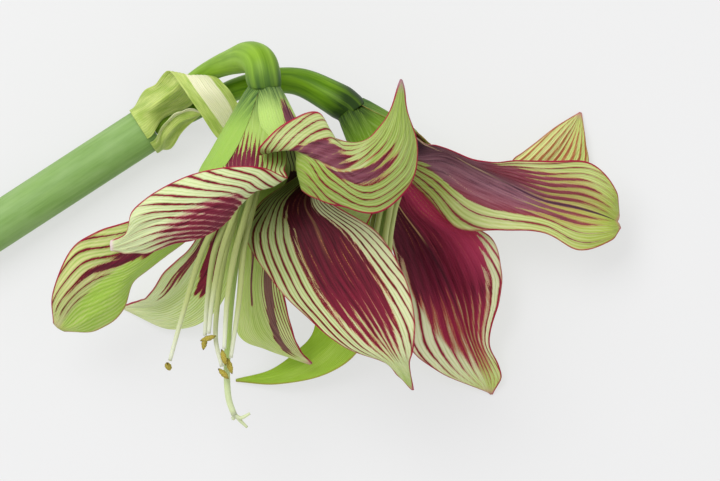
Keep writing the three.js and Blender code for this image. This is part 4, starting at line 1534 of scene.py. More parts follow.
TEPALS = (
    Tepal(
        "tepal_a1", azimuth=-12, whorl=INNER, claw=0.8,
        stations=(
            ((-43, 25, 97), (-30, 28, 92), (-54, 24, 89), 0.5, 0.5),
            ((-41, 20, 104), (-29, 25, 98), (-52, 13, 94), 1, 0.5),
            ((-48, 19, 110), (-39, 29, 106), (-52, 8, 101), 1, 0.5),
            ((-62, 15, 113), (-60, 28, 112), (-61, 2, 105), 1.5, 1.5),
            ((-76, 9, 110), (-78, 21, 110), (-75, -2, 102), 1.5, 1.5),
            ((-86, 5, 105), (-90, 12, 106), (-85, -5, 98), 1, 1),
            ((-93, 1, 101), (-93, 3, 102), (-93, -5, 97), 0, 0),
            ((-99, -2, 97), (-99, 0, 97), (-99, -4, 96), 0, 0),
        ),
        marks=Marks(
            veins=(
                (0, -4, -0.5, 3), (1.6, -3.5, -0.1, 4.5), (2.4, -3, 1.6, 6), (3.3, -0.2, 3.5, 10),
                (4.2, 1.6, 5.5, 10.5), (4.9, 3.2, 5.9, 10), (7, 4.5, 6, 8),
            ),
            lines=(
                (0, 0.9, 0.9), (2.4, 0.9, 1), (3.4, 1.1, 1.2), (4.4, 0.8, 1), (5.2, 0.3, 0.5),
                (7, 0.1, 0.3),
            ),
            bands=(Band(
                (
                    (1.6, 0.2, 1, 0.5), (2.2, 0.05, 1.1, 0.85), (2.8, 0, 1.1, 0.76),
                    (3.4, 0.05, 1.1, 0.62), (4.2, 0.2, 1, 0.44), (5, 0.5, 1, 0),
                ),
                0.25,
            ),),
            wash=((1.2, 0, 0), (1.9, 0.8, 1.3), (3.6, 0.8, 1.2), (4.6, 0, 0.3)), back_veins=2.0,
            back_lines=((-3, 0, 0), (-1, 1, 1), (7, 1, 1)),
            back_bands=(Band(
                (
                    (-2.9, 0.1, 0.8, 0), (-2.5, 0, 0.85, 0.25), (-1.9, -0.2, 0.95, 0.55),
                    (-1.3, -0.25, 0.95, 0.85), (0, -0.25, 0.95, 1),
                ),
                0.25,
            ),),
            rim=(1, 0.5), leaf=((0, 0.15, 0.15), (7, 0.1, 0.0)), depth=((-1, 1, 1), (0.8, 0, 0)),
            tip=1.0,
        ),
        finish=TepalFinish(
            seed=1, pale=srgb(206, 216, 166), green=srgb(160, 184, 96), maroon=srgb(108, 28, 48),
            bright=srgb(148, 58, 80), brick=srgb(170, 110, 108), tip=srgb(228, 206, 208),
            tube=srgb(160, 188, 94), wash_reach=0.9,
        ),
    ),
    Tepal(
        "tepal_a2", azimuth=-82, whorl=OUTER, claw=0.9, closed=(59, 60),
        stations=(
            ((-69, 14, 67), (-77, 20, 76), (-66, 4, 52), 1, 1),
            ((-80, 3, 64), (-89, 9, 73), (-77, -6, 51), 1, 1),
            ((-94, -9, 58), (-104, 4, 68), (-90, -16, 48), 1.5, 1.5),
            ((-106, -18, 51), (-115, -3, 60), (-95, -28, 42), 2, 2),
            ((-114, -26, 45), (-123, -21, 52), (-105, -36, 36), 1.5, 1.5),
            ((-121, -35, 38), (-123, -33, 39), (-118.5, -36.5, 37), 0, 0),
        ),
        marks=Marks(
            veins=(
                (0, -6, -2, 2), (1.9, -4.6, -1, 2.6), (2.65, -4, 0.4, 3.6), (3.4, -3.4, 0.9, 4.6),
                (4, -2.6, 1.6, 4.6), (5, -1.4, 1.4, 4),
            ),
            lines=((0, 0.9, 0), (3.4, 0.85, 0), (4.3, 0.8, 0), (4.8, 0, 0)),
            bands=(Band((
                (-1, -0.3, 0.4, 1), (1, -0.25, 0.38, 1), (1.5, -0.15, 0.3, 1), (2, -0.3, 0, 0.95),
                (2.6, -0.4, -0.14, 0.85), (3.2, -0.46, -0.28, 0.6), (3.7, -0.58, -0.38, 0.35),
                (4.1, -0.66, -0.44, 0),
            )),),
            rim=(1, 0.6), leaf=((0, 0.8, 1), (3, 0.35, 0.95), (5, 0.3, 0.8)),
            depth=((-1, 1, 1), (1.2, 0, 0)), tip=0.2,
        ),
        finish=TepalFinish(
            seed=2, green=srgb(158, 192, 76), pale=srgb(214, 212, 152), tube=srgb(148, 184, 80),
        ),
    ),
    Tepal(
        "tepal_a3", azimuth=-140, whorl=INNER, claw=0.9,
        stations=(
            ((-56, 11, 44), (-61, 11, 55), (-47, 6, 36), 0.5, 0.5),
            ((-61, -1, 33), (-70, -5, 42), (-50, -7, 26), 1, 1),
            ((-67, -12, 23), (-79, -13, 29), (-53, -20, 17), 1, 1),
            ((-74, -21, 14), (-85, -22, 18), (-61, -31, 9), 1, 1),
            ((-83, -26, 7), (-89, -24, 9), (-75, -36, 4), 0.5, 0.5),
            ((-95, -27, 0.6), (-95, -26, 0.7), (-95, -28, 0.5), 0, 0),
        ),
        marks=Marks(
            lines=((0, 0.6, 0.2), (1.5, 0.3, 0), (3, 0.1, 0), (4, 0, 0)),
            bands=(
                Band(
                    (
                        (-1, 0, 0.5, 1), (0.55, 0.06, 0.52, 1), (0.95, 0.05, 0.55, 1),
                        (1.35, 0.1, 0.54, 1), (2, 0.2, 0.52, 1), (2.4, 0.28, 0.5, 0.9),
                        (2.8, 0.36, 0.44, 0),
                    ),
                    0.05,
                ),
                Band(
                    (
                        (0, -0.74, -0.38, 1), (1.05, -0.7, -0.34, 0.95), (2, -0.62, -0.28, 0.8),
                        (2.8, -0.66, -0.4, 0.5), (3.6, -0.6, -0.5, 0),
                    ),
                    0.1,
                ),
            ),
            rim=(0.9, 0), leaf=((0, 0.6, 0.9), (2, 0.4, 0.8), (4, 0.15, 0.3), (5, 0, 0.1)),
            depth=((-1, 1, 1), (1.5, 0, 0)), tip=0.1,
        ),
        # A3's pale and green are lighter than most tepals': its own light yellow-green, lifted further as
        # painted light against the shade that falls on it
        finish=TepalFinish(
            seed=3, green=srgb(176, 202, 92), pale=srgb(224, 232, 184), maroon=srgb(122, 26, 44),
            brick=srgb(190, 160, 70),
        ),
    ),
    Tepal(
        "tepal_a4", azimuth=160, whorl=OUTER, claw=0.9, closed=(58, 58),
        stations=(
            ((-37, 10, 39), (-46, 8, 34), (-26, 12, 41), 0.5, 0.5),
            ((-39, -6, 34), (-48, -9, 28), (-31, -9, 40), 1, 1),
            ((-40, -21, 29), (-48, -24, 24), (-30, -24, 35), 1, 1),
            ((-36, -34, 25), (-49, -38, 20), (-27, -36, 30), 1, 1),
            ((-29, -43, 21), (-37, -44, 18), (-24, -44, 24), 0.5, 0.5),
            ((-19.6, -49.6, 18), (-20.1, -50, 18), (-19.1, -49.2, 18), 0, 0),
        ),
        marks=Marks(
            veins=((0, -8, 0, 11), (5, -5, 0, 7)),
            lines=((0, 0, 1), (3.5, 0, 1), (4.4, 0, 0.6), (5, 0, 0)),
            bands=(
                Band(
                    (
                        (-1, 0.1, 0.6, 1), (1.3, 0.2, 0.6, 1), (2.1, 0.26, 0.59, 1),
                        (3.1, -0.02, 0.4, 1), (4.05, -0.3, 0.02, 0.95), (4.6, -0.4, -0.2, 0),
                    ),
                    0.03,
                ),
                Band(((0.5, -0.46, -0.36, 0.9), (2.2, -0.4, -0.32, 0.9), (2.4, -0.36, -0.34, 0)), 0.03),
            ),
            rim=(0, 1), leaf=((0, 1, 0.6), (2, 0.7, 0.4), (5, 0.4, 0.2)),
            depth=((-1, 1, 1), (1.2, 0.1, 0.1), (1.6, 0, 0)),
        ),
        finish=TepalFinish(
            seed=4, green=srgb(172, 200, 92), pale=srgb(214, 218, 160), fray=0.25,
            maroon=srgb(124, 84, 80), bright=srgb(140, 98, 88),
        ),
    ),
    Tepal(
        "tepal_a5", azimuth=100, whorl=INNER, claw=0.85,
        stations=(
            ((-22, 14, 66), (-40, 15, 54), (-13, 17, 78), 1, 0.5),
            ((-18, 3, 70), (-46, 3, 60), (7, 3, 80), 2, 1),
            ((-10, -14, 71), (-35, -16, 66), (18, -15, 79), 2, 1.5),
            ((-1, -27, 70), (-21, -31, 66), (22, -33, 76), 2, 1.5),
            ((9, -41, 66), (-4, -44, 64), (21, -45, 70), 1, 1),
            ((17, -52, 61), (13, -52, 60), (20, -50, 64), 0.5, 0.5),
            ((21, -59.6, 56), (20.4, -59.6, 56), (21.6, -59.6, 56), 0, 0),
        ),
        marks=Marks(
            veins=(
                (0, -11, 0, 9.8), (0.7, -10, 0, 10), (1.3, -8.5, 0, 9.3), (2.3, -6.7, 0, 7.3),
                (3.1, -6.4, 0, 5.8), (4.5, -5, 0, 4.8), (6, -3, 0, 3),
            ),
            lines=((0, 1, 1), (3.4, 1, 1), (4, 0.9, 0.8), (4.5, 0.5, 0.4), (5, 0.05, 0.1), (6, 0, 0)),
            bands=(Band((
                (-3, -0.6, 0.4, 1), (0, -0.42, 0.36, 1), (0.9, -0.31, 0.5, 1), (1.8, -0.36, 0.62, 1),
                (2.7, -0.44, 0.66, 0.9), (3.3, -0.46, 0.66, 0.66), (3.9, -0.42, 0.6, 0.4),
                (4.4, -0.36, 0.5, 0.2), (4.9, -0.3, 0.4, 0),
            )),),
            rim=(0.9, 1),
            leaf=((0, 0.5, 0), (2, 0.4, 0), (4, 0.25, 0.2), (4.8, 0.4, 0.4), (6, 0.8, 0.8)),
            depth=(
                (-1, 1, 1), (0, 0.8, 0.8), (0.5, 0.7, 0.6), (1.6, 0.45, 0.35), (2.4, 0.2, 0.1),
                (3.2, 0, 0),
            ),
            wash=((0, 0.3, 0.3), (2, 0.6, 0.9), (4, 0.9, 0.9)),
            flush_and_light=(Band(((2.2, -0.5, 0.7, 0), (3, -0.5, 0.7, 0.4), (5, -0.5, 0.7, 0.4)), 0.2),),
            midrib=(
                (-0.6, 0, 0), (0.2, 0, 0.24), (1, 0, 0.2), (1.7, 0, 0), (2.4, 0.2, 0), (3, 0.5, 0),
                (4.4, 0.1, 0), (5, 0, 0.3), (6, 0, 0),
            ),
            seam=((-0.3, -0.06), (0.3, 0.12), (1.05, 0.05), (1.8, 0.03), (2.4, 0)),
            gold=((-0.4, 0, 0), (0.2, 1, 1), (1.4, 1, 1.4), (2.4, 0, 0)),
        ),
        finish=TepalFinish(
            seed=5, maroon=srgb(96, 24, 40), bright=srgb(152, 40, 66), pale=srgb(216, 220, 176),
            brick=srgb(182, 124, 84),
        ),
        pinch=(0.3, 0.04), waist=1.3,
    ),
    Tepal(
        "tepal_a6", azimuth=40, whorl=OUTER, claw=0.5, closed=(60, 60),
        stations=(
            ((-27, 39, 90), (-19, 31, 82), (-40, 34, 91), 0, 0.5),
            ((-25, 36, 98), (-23, 20, 91), (-40, 37, 98), 1, 1),
            ((-17, 32, 104), (-16, 16, 96), (-29, 47, 98), 1.5, 2),
            ((-8, 28, 105), (-6, 13, 98), (-17, 51, 94), 1.5, 2),
            ((0, 30, 103), (7, 11, 97), (-10, 41, 97), 1.5, 1),
            ((7, 38, 99), (20, 22, 93), (0, 39, 97), 2, 0.5),
            ((12, 47, 95), (23, 44, 89), (8, 46, 95), 1, 0.3),
            ((16.4, 64, 88), (17, 63.7, 88), (15.8, 64, 88), 0, 0),
        ),
        marks=Marks(
            veins=(
                (0, -1, 3, 8.6), (1, -1, 3, 8.1), (1.5, -0.9, 2.5, 7.7), (1.9, -1.7, 1.8, 7.3),
                (2.35, -2.6, 0.95, 6.75), (3, -3.8, 0, 6.1), (3.5, -6.9, -0.5, 5.2),
                (4, -7.4, -0.7, 4.5), (4.5, -8, -0.7, 4.3), (5.1, -7.5, -0.2, 4.2), (7, -4, 0, 3),
            ),
            fold=((1.5, 9.2), (1.9, 7.65), (2.35, 5.85), (3, 4.15), (3.5, 1.2), (4, 0.6), (4.5, 0)),
            lines=(
                (0, 0.2, 0.8), (1.4, 0.3, 0.8), (1.8, 0.8, 0.8), (4.4, 0.85, 0.8), (5.2, 0.6, 0.5),
                (5.8, 0.3, 0.3), (6.4, 0.1, 0.1), (7, 0, 0),
            ),
            bands=(
                Band(
                    (
                        (1, 0.1, 0.3, 0.3), (1.5, 0, 0.38, 0.8), (2.2, -0.01, 0.44, 0.95),
                        (2.8, -0.01, 0.5, 0.95), (3.2, 0, 0.48, 0.8), (3.6, 0, 0.46, 0.45),
                        (4.2, 0.02, 0.4, 0.1), (4.5, 0, 0.3, 0),
                    ),
                    0.06,
                ),
                Band(
                    (
                        (2.2, -0.1, 0, 0), (2.5, -0.1, 0, 0.8), (2.7, -0.12, -0.02, 1),
                        (3.15, -0.27, -0.03, 1), (3.5, -0.34, -0.04, 1), (4.05, -0.41, -0.08, 0.95),
                        (4.4, -0.46, -0.14, 0.75), (4.9, -0.49, -0.2, 0.45), (5.4, -0.5, -0.24, 0.15),
                        (5.8, -0.5, -0.3, 0),
                    ),
                    0.06,
                ),
            ),
            back_veins=2.0, back_lines=((-1, 0, 0), (0, 1, 1), (7, 1, 1)),
            back_bands=(Band(
                (
                    (-3.5, -0.14, 0, 0), (-3.3, -0.2, 0.06, 0.6), (-2.9, -0.3, 0.1, 0.85),
                    (-2.2, -0.42, 0.16, 1), (-1, -0.5, 0.2, 1),
                ),
                0.08,
            ),),
            rim=(1, 1),
            leaf=((0, 1, 0.3), (2, 0.9, 0.3), (3, 0.7, 0.25), (5, 0.75, 0.65), (7, 0.85, 0.85)),
            midrib=((2, 0, 0), (2.6, 0, 0.9), (4.2, 0, 0.9), (4.8, 0, 0)),
            seam=((2.6, -0.01), (3.7, -0.03), (4.6, -0.06)), depth=((-1, 1, 1), (0.6, 0, 0)), tip=0.8,
        ),
        finish=TepalFinish(
            seed=6, green=srgb(140, 164, 66), pale=srgb(188, 196, 138), maroon=srgb(104, 46, 60),
            bright=srgb(146, 90, 104), tip=srgb(176, 140, 150),
        ),
        pinch=(0.35, 0.35), rim_width=1.0,
    ),
    Tepal(
        "tepal_b1", azimuth=-160, whorl=OUTER_B, claw=0.9,
        stations=(
            ((16, 14, 17), (8, 13, 24), (36, 10, 16), 0.5, 0.5),
            ((25, 2, 11), (12, 1, 20), (53, 1, 18), 1, 1.5),
            ((32, -10, 8), (15, -11, 18), (57, -13, 20), 1.5, 1.5),
            ((38, -24, 6), (17, -26, 17), (56, -25, 18), 1.5, 1.5),
            ((43, -39, 4), (20, -43, 14), (52, -41, 13), 1, 1),
            ((48, -51, 3), (32, -53, 6), (58, -52, 7), 0.5, 0.5),
            ((53, -62, 0.5), (52.4, -61.6, 0.5), (53.6, -62, 0.5), 0, 0),
        ),
        marks=Marks(
            veins=(
                (0, -6, 0, 9), (1.35, -5.6, 0, 7.7), (2, -5.3, 0, 6.2), (2.9, -5.6, 0, 6.2),
                (4.5, -5.4, 0, 6), (6, -4, 0, 4),
            ),
            lines=((0, 1, 1), (4.2, 1, 1), (5, 0.7, 0.7), (6, 0.3, 0.3)),
            bands=(Band((
                (-2, -0.9, 1.1, 1), (0.2, -0.92, 1.1, 1), (1.05, -0.9, 0.84, 1), (1.75, -0.88, 0.78, 1),
                (2.6, -0.76, 0.76, 0.95), (3.4, -0.56, 0.76, 0.58), (4.2, -0.38, 0.74, 0.36),
                (5, -0.2, 0.64, 0.26), (5.6, 0, 0.5, 0.12), (5.9, 0.1, 0.4, 0),
            )),),
            rim=(1, 0.9), leaf=((0, 0.1, 0), (4, 0, 0.1), (4.8, 0.2, 0.7), (6, 0.8, 0.9)),
            depth=(
                (-1, 1, 0.25), (0, 0.9, 0.05), (0.6, 0.8, 0.15), (2, 0.65, 0.3), (2.6, 0.45, 0.25),
                (3.6, 0, 0),
            ),
            wash=((0, 0, 0), (2, 0.6, 0.4), (2.8, 1.2, 0.9), (4.4, 1.1, 1.3), (5.2, 0.3, 0.8)),
            flush_and_light=(
                Band(
                    (
                        (-2, 0.3, 1.3, 1.3), (0.4, 0.4, 1.3, 1.3), (1, 0.4, 1.1, 1), (2, 0.3, 0.9, 0.5),
                        (2.6, 0.3, 0.9, 0),
                    ),
                    0.25,
                ),
                Band(((2.4, -0.6, 0.8, 0), (3.4, -0.6, 0.8, 0.3), (6, -0.6, 0.8, 0.3)), 0.2),
            ),
            midrib=((0, 0, 1.1), (0.9, 0, 0.9), (1.4, 0.4, 0), (2.4, 0.5, 0), (3.6, 0.2, 0), (5, 0, 0)),
            seam=((0, -0.06), (0.5, -0.09), (1.1, -0.05), (2.4, 0)),
            gold=((-1.8, 0, 0), (-1.2, 1, 1.5), (0.2, 1, 1.5), (0.6, 1, 0.8), (2, 0, 0)),
        ),
        # B1's pale ground and reds are lighter than the other tepals': its own paler colours, lifted
        # further as painted light where tepal_a5 shades it
        finish=TepalFinish(
            seed=7, pale=srgb(232, 234, 196), green=srgb(184, 204, 96), crimson=srgb(140, 22, 46),
            maroon=srgb(122, 30, 54), bright=srgb(190, 58, 96), dark=srgb(56, 16, 28),
            brick=srgb(178, 100, 74), tube=srgb(104, 140, 30), flush_and_light=srgb(204, 62, 104), wash_reach=1.2,
        ),
        pinch=(0, 0.16), waist=1.1,
    ),
    Tepal(
        "tepal_b2", azimuth=150, whorl=INNER_B, claw=0.85,
        stations=(
            ((34, 35, 25), (27, 17, 22), (32, 38, 35), 0.5, 0.5),
            ((47, 29, 22), (39, 5, 24), (47, 32, 34), 1, 0.5),
            ((61, 22, 21), (57, 4, 26), (61, 32, 32), 1.5, 0.5),
            ((74, 16, 21), (74, 3, 27), (75, 32, 29), 1.5, 1),
            ((88, 13, 20), (88, -4, 24), (93, 31, 25), 2, 2),
            ((98, 10, 18), (101, 0, 19), (103, 20, 20), 1.5, 1.5),
            ((103.6, 7.6, 15), (105, 5, 15), (104.4, 10, 15), 0, 0),
        ),
        marks=Marks(
            veins=(
                (0, -6.4, 0, 9), (0.9, -6, 0, 8.5), (1.65, -5, 0, 7.8), (2.9, -5, 0, 7.7),
                (4, -4.8, 0, 7), (5.25, -4.6, 0, 5), (6, -4, 0, 4),
            ),
            lines=((-1, 0.9, 0.9), (3, 0.8, 0.8), (4.4, 0.5, 0.6), (5.3, 0.3, 0.35), (6, 0.1, 0.1)),
            bands=(Band((
                (-2, -0.1, 1.1, 1), (-0.6, -0.28, 1.1, 1), (-0.25, -0.42, 1.1, 1), (0.1, -0.48, 1.1, 1),
                (0.75, -0.48, 1.1, 1), (1.3, -0.52, 1.02, 1), (1.65, -0.56, 0.85, 1),
                (2.4, -0.56, 0.78, 0.85), (3.2, -0.52, 0.72, 0.56), (4.2, -0.48, 0.62, 0.34),
                (5.2, -0.36, 0.46, 0.14), (5.8, -0.3, 0.3, 0),
            )),),
            rim=(0.8, 1), leaf=((0, 0.8, 0.5), (2, 0.3, 0.3), (4, 0.7, 0.5), (5, 1, 0.9), (6, 1, 1)),
            depth=((-1, 0.6, 1), (-0.5, 0.1, 0.5), (0, 0, 0.2), (1, 0, 0)),
            midrib=(
                (-1.5, 0, 2), (0.6, 0, 1.8), (1.2, 0, 0.9), (1.6, 0.3, 0.3), (2.2, 1, 0), (5.6, 1, 0),
                (6, 0.2, 0),
            ),
            seam=(
                (-1.5, 1), (-0.6, 0.88), (-0.1, 0.49), (0.2, 0.06), (0.5, 0.02), (1.6, 0.02), (2.4, 0),
            ),
            wash=((0, 0, 0), (1.8, 0.1, 0.2), (3, 0.9, 0.9)),
            flush_and_light=(
                Band(
                    (
                        (0.9, 0.25, 1, 0), (1.5, 0.25, 0.9, 0.6), (2.6, 0.2, 0.8, 0.6),
                        (3.8, 0.1, 0.7, 0.2),
                    ),
                    0.2,
                ),
                Band(
                    (
                        (0.2, -0.6, -0.3, 0), (0.8, -0.62, -0.32, 0.5), (2.4, -0.66, -0.36, 0.5),
                        (3.6, -0.6, -0.3, 0.2),
                    ),
                    0.15,
                ),
            ),
            gold=((-0.2, 0, 0), (0.4, 0.6, 0.6), (1.2, 0.6, 0.6), (2.2, 0, 0)),
        ),
        # B2's maroon, bright and dark are grey-mauve: the blotch's own red with a painted sheen of
        # reflected light mixed in
        finish=TepalFinish(
            seed=8, pale=srgb(210, 216, 158), green=srgb(166, 182, 78), crimson=srgb(138, 54, 54),
            maroon=srgb(134, 86, 100), bright=srgb(170, 122, 134), dark=srgb(78, 48, 62),
            brick=srgb(170, 146, 72), flush_and_light=srgb(146, 36, 54), gold=srgb(210, 172, 150), wash_reach=1.1,
            fray=0.5, roughness=0.4,
        ),
    ),
    Tepal(
        "tepal_b3", azimuth=128, whorl=OUTER_B, claw=0.7, closed=(0, 80), tuck=0.5,
        stations=(
            ((32, 33, 19), (30, 22, 15), (32, 39.5, 28), 0.3, 0.3),
            ((45, 27, 11), (46, 14, 8), (43, 34, 17), 0.5, 0.5),
            ((58, 23, 7), (62, 11, 5), (56, 31, 12), 1, 0.5),
            ((70, 25, 5), (81, 15, 4), (63, 34, 8), 1, 1),
            ((79, 33, 3.5), (92, 30, 3), (70, 39, 6), 1, 1),
            ((85, 42, 2.5), (91, 40, 3), (78.4, 45.6, 4.5), 0.5, 0.5),
            ((89, 51.6, 0.6), (89.5, 51.4, 0.6), (88.5, 51.8, 0.6), 0, 0),
        ),
        marks=Marks(
            veins=((0, -5, 0, 5), (3, -5, 0, 5), (6, -4, 0, 4)),
            lines=((0, 1, 1), (4.8, 1, 1), (6, 0.5, 0.5)),
            bands=(Band((
                (-1, -0.6, 0.6, 1), (2, -0.6, 0.6, 0.8), (3.4, -0.75, 0.6, 0.36), (5, -0.6, 0.5, 0.3),
                (5.8, -0.5, 0.4, 0),
            )),),
            rim=(0.5, 0.7), leaf=((0, 0.8, 0.5), (3, 0.4, 0.2), (6, 0.7, 0.5)),
            depth=((-1, 1, 1), (1.2, 0, 0)),
        ),
        finish=TepalFinish(
            seed=9, pale=srgb(222, 218, 156), crimson=srgb(166, 88, 58), maroon=srgb(160, 90, 56),
            bright=srgb(196, 136, 84), dark=srgb(140, 70, 46), tube=srgb(104, 140, 30),
        ),
    ),
    Tepal(
        "tepal_b4", azimuth=-92, whorl=INNER_B, claw=0.85,
        stations=(
            ((1, 7, 38), (7.5, 7, 44), (-7, 8, 30), 0.5, 0.5),
            ((-3, -9, 33), (8, -11, 39), (-15, -7, 27), 1, 1),
            ((-5, -24, 26), (7, -29, 31), (-17, -21, 21), 1, 1),
            ((-10, -39, 18), (-1, -45, 21), (-19, -37, 15), 1, 1),
            ((-21, -49, 11), (-14, -54, 12), (-25, -44, 9), 0.5, 0.5),
            ((-35, -55, 5), (-34, -58, 5), (-36, -52, 4), 0.3, 0.3),
            ((-50, -56.4, 0.5), (-50, -57, 0.5), (-50, -55.8, 0.5), 0, 0),
        ),
        marks=Marks(
            lines=((0, 1, 1), (4, 1, 1), (6, 0, 0)),
            bands=(Band((
                (-1, -0.5, 0.5, 1), (2, -0.5, 0.5, 0.9), (4, -0.3, 0.3, 0.4), (4.6, 0, 0, 0),
            )),),
            rim=(0.35, 0.1), leaf=((0, 0.9, 1), (3, 0.8, 1), (6, 0.9, 1)), tip=0.1,
        ),
        finish=TepalFinish(
            seed=10, green=srgb(158, 196, 56), pale=srgb(200, 222, 116), tube=srgb(158, 196, 56),
        ),
    ),
    Tepal(
        "tepal_b5", azimuth=-36, whorl=OUTER_B, claw=0.75, closed=(56, 56),
        stations=(
            ((1, 19, 63), (7, 15, 63), (-5, 25, 58), 0.5, 0.5),
            ((-8, 10, 63), (1, 3, 62), (-16, 17, 57), 1, 1),
            ((-14, -4, 56), (-4, -7, 55), (-24, 0, 50), 1, 1),
            ((-14, -19, 50), (-5, -20, 49), (-23, -16, 46), 1, 1),
            ((-10, -31, 46), (-5, -30, 45), (-15, -30, 44), 0.5, 0.5),
            ((-6, -39, 43), (-5.4, -39, 43), (-6.6, -39, 43), 0, 0),
        ),
        marks=Marks(
            lines=((0, 1, 1), (4, 1, 1), (5, 0.3, 0.3)),
            bands=(Band((
                (-1, -0.4, 0.4, 1), (2, -0.4, 0.4, 0.9), (3.5, -0.3, 0.3, 0.4), (4.4, 0, 0, 0),
            )),),
        ),
        finish=TepalFinish(seed=11, tube=srgb(104, 140, 24), neck=srgb(34, 56, 20)),
    ),
    Tepal(
        "tepal_b6", azimuth=38, whorl=INNER_B, claw=0.55, closed=(54, 54),
        stations=(
            ((17, 36, 62), (21, 40, 58), (11, 31, 62), 0.3, 0.3),
            ((17, 31, 72), (22, 35, 68), (11, 24, 70), 0.5, 0.5),
            ((11, 29, 80), (16, 37, 78), (7, 20, 76), 1, 1),
            ((2, 26, 84), (5, 36, 82), (0, 17, 80), 1, 1),
            ((-4, 24, 84), (-2, 30, 83), (-4, 19, 82), 0.5, 0.5),
            ((-7, 23, 83), (-7, 23.6, 83), (-7, 22.4, 83), 0, 0),
        ),
        marks=Marks(
            lines=((0, 1, 1), (4, 1, 1), (5, 0.3, 0.3)),
            bands=(Band((
                (-1, -0.4, 0.4, 1), (2, -0.4, 0.4, 0.9), (3.5, -0.3, 0.3, 0.4), (4.4, 0, 0, 0),
            )),),
        ),
        finish=TepalFinish(seed=12, tube=srgb(100, 136, 22), neck=srgb(34, 56, 20)),
    ),
)

VALVES = (
    Valve(
        "spathe_valve_front", bearing=52, spread=58,
        stations=(
            ((-83, 54, 24), (-87, 60, 14), (-79.5, 48.5, 18.5), 0.5, 0.5),
            ((-75, 60, 30), (-82, 63, 22), (-68, 54.5, 21.5), 0.5, 0.5),
            ((-68, 66, 38), (-77, 68, 32), (-59, 66, 36), 0, 0),
            ((-63, 60, 42), (-71, 61, 40), (-54, 62, 40), 0.5, 0.5),
            ((-57, 53, 41), (-64, 51, 40), (-49, 55, 39), 0.7, 0.7),
            ((-52, 45, 37), (-57, 41, 36), (-47, 48, 35), 0.5, 0.5),
            ((-47, 38, 31), (-47.5, 37.6, 31), (-46.5, 38.4, 31), 0, 0),
        ),
        marks=Marks(
            bands=(Band((
                (1.6, -0.3, 0.6, 0.4), (2.2, -0.3, 0.7, 1), (4, -0.4, 0.6, 1), (5.5, -0.3, 0.5, 0.6),
            )),),
            rim=(0, 0), depth=((-2, 0.2, 0.2), (1, 0.2, 0.2), (1.5, 0, 0)),
        ),
    ),
    Valve(
        "spathe_valve_back", bearing=156, spread=34,
        stations=(
            ((-78, 42, 20), (-79, 46.5, 24), (-76, 37, 13), 1, 1),
            ((-72, 48, 24), (-73, 51.5, 27), (-72, 43, 18), 1, 1),
            ((-67, 50, 25), (-68, 53, 27), (-68, 47, 22), 0.5, 0.5),
            ((-64, 51, 25), (-64, 51.6, 25.3), (-64, 50.4, 24.7), 0, 0),
        ),
        marks=Marks(bands=(Band(((-1, -1.2, -0.6, 0.4), (3, -1.2, -0.6, 0.9))),), rim=(0, 0)),
    ),
)

PEDICELS = (
    Pedicel(
        "pedicel_a",
        points=(
            (-76, 55.5, 15), (-62, 67, 27), (-50, 72, 45), (-43, 73, 59), (-39.5, 70, 66),
            (-38.4, 65, 67),
        ),
        radii=(4, 4, 4, 4.2, 5, 6.2, 6.9),
        finish=StemFinish(
            light=srgb(138, 176, 52), green=srgb(108, 146, 24), band=srgb(66, 98, 50), wax_share=0.1,
            streaks=2.6, relief=0.14, seed=4, roughness=0.42,
        ),
        seat=1, band=1.0,
    ),
    Pedicel(
        "pedicel_b",
        points=(
            (-72, 50, 8), (-60, 56, 16), (-49, 61, 25), (-36, 64, 32), (-24, 63.5, 37), (-12, 58, 41),
        ),
        radii=(4, 4, 4.2, 4.5, 4.8, 5.4, 6.6),
        finish=StemFinish(
            light=srgb(116, 156, 28), green=srgb(72, 112, 2), band=srgb(38, 60, 20), wax_share=0.04,
            streaks=2.6, relief=0.14, seed=6, roughness=0.4,
        ),
        seat=-1, band=1.2,
    ),
)


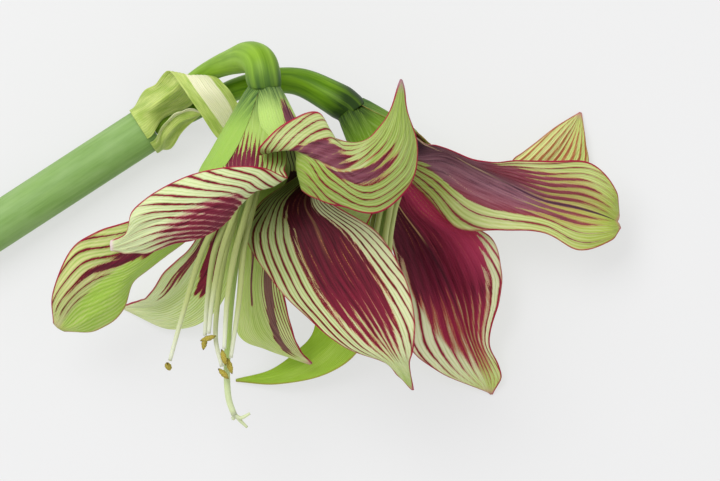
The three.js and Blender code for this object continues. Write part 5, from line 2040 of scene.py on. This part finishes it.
@dataclass
class Studio:
    """A pale floor, soft light and the photograph's own view from above."""

    floor_size: float = 6.0
    floor_drop: float = 0.0002
    sky: float = 0.72
    key_power: float = 27.0
    key_size: float = 1.2
    key_place: Point = (-0.7, 0.9, 1.6)

    def build(self, place: Placement) -> None:
        """Lays the floor, lights it and sets the camera.

        Args:
            place: Where the source's millimetres lie.
        """
        self.floor()
        self.lights()
        self.camera(place)

    def floor(self) -> None:
        """Lays the floor just under the object."""
        half = self.floor_size / 2
        square = ((-half, -half), (half, -half), (half, half), (-half, half))
        corners = [(x, y, -self.floor_drop) for x, y in square]
        mesh = bpy.data.meshes.new("floor_form")
        mesh.from_pydata(corners, [], [(0, 1, 2, 3)])
        mesh.materials.append(FloorFinish().material("floor_finish"))
        floor = bpy.data.objects.new("floor", mesh)
        bpy.context.scene.collection.objects.link(floor)

    def lights(self) -> None:
        """Adds an even sky and one broad soft light from the upper left."""
        world = bpy.data.worlds.new("sky")
        world.use_nodes = True
        background = world.node_tree.nodes["Background"]
        background.inputs["Color"].default_value = (1, 1, 1, 1)
        background.inputs["Strength"].default_value = self.sky
        bpy.context.scene.world = world
        lamp = bpy.data.lights.new("softbox", "AREA")
        lamp.energy = self.key_power
        lamp.size = self.key_size
        key = bpy.data.objects.new("softbox", lamp)
        key.location = self.key_place
        x, y, z = self.key_place
        tilt = math.acos(z / math.hypot(x, y, z))
        key.rotation_euler = (tilt, 0, math.atan2(-y, -x) + 1.5 * math.pi)
        bpy.context.scene.collection.objects.link(key)

    def camera(self, place: Placement) -> None:
        """Sets the camera straight above the middle of the photograph.

        Args:
            place: Where the source's millimetres lie.
        """
        data = bpy.data.cameras.new("camera")
        data.sensor_width = SENSOR_MM
        data.lens = SENSOR_MM * VIEW_DISTANCE_MM / (PHOTO_WIDTH * VIEW_MM_PER_PIXEL)
        data.clip_start = 0.1
        data.clip_end = 50
        camera = bpy.data.objects.new("camera", data)
        camera.location = place.world(np.array((0, 0, VIEW_DISTANCE_MM + VIEW_HEIGHT_MM)))
        bpy.context.scene.collection.objects.link(camera)
        scene = bpy.context.scene
        scene.camera = camera
        scene.view_settings.view_transform = "Standard"


def main() -> None:
    """Builds the flower's pieces in order and reports each one."""
    logging.basicConfig(level=logging.INFO, format="%(message)s")
    place = Placement()
    Studio().build(place)
    pieces: list[Piece] = [Scape("scape"), *VALVES, *PEDICELS, *TEPALS]
    for stamens in (StamensA("a"), StamensB("b")):
        pieces += [*stamens.pieces(), stamens.style()]
    for piece in pieces:
        piece.build(place)
    log.info("%d pieces built", len(pieces))


if __name__ == "__main__":
    main()
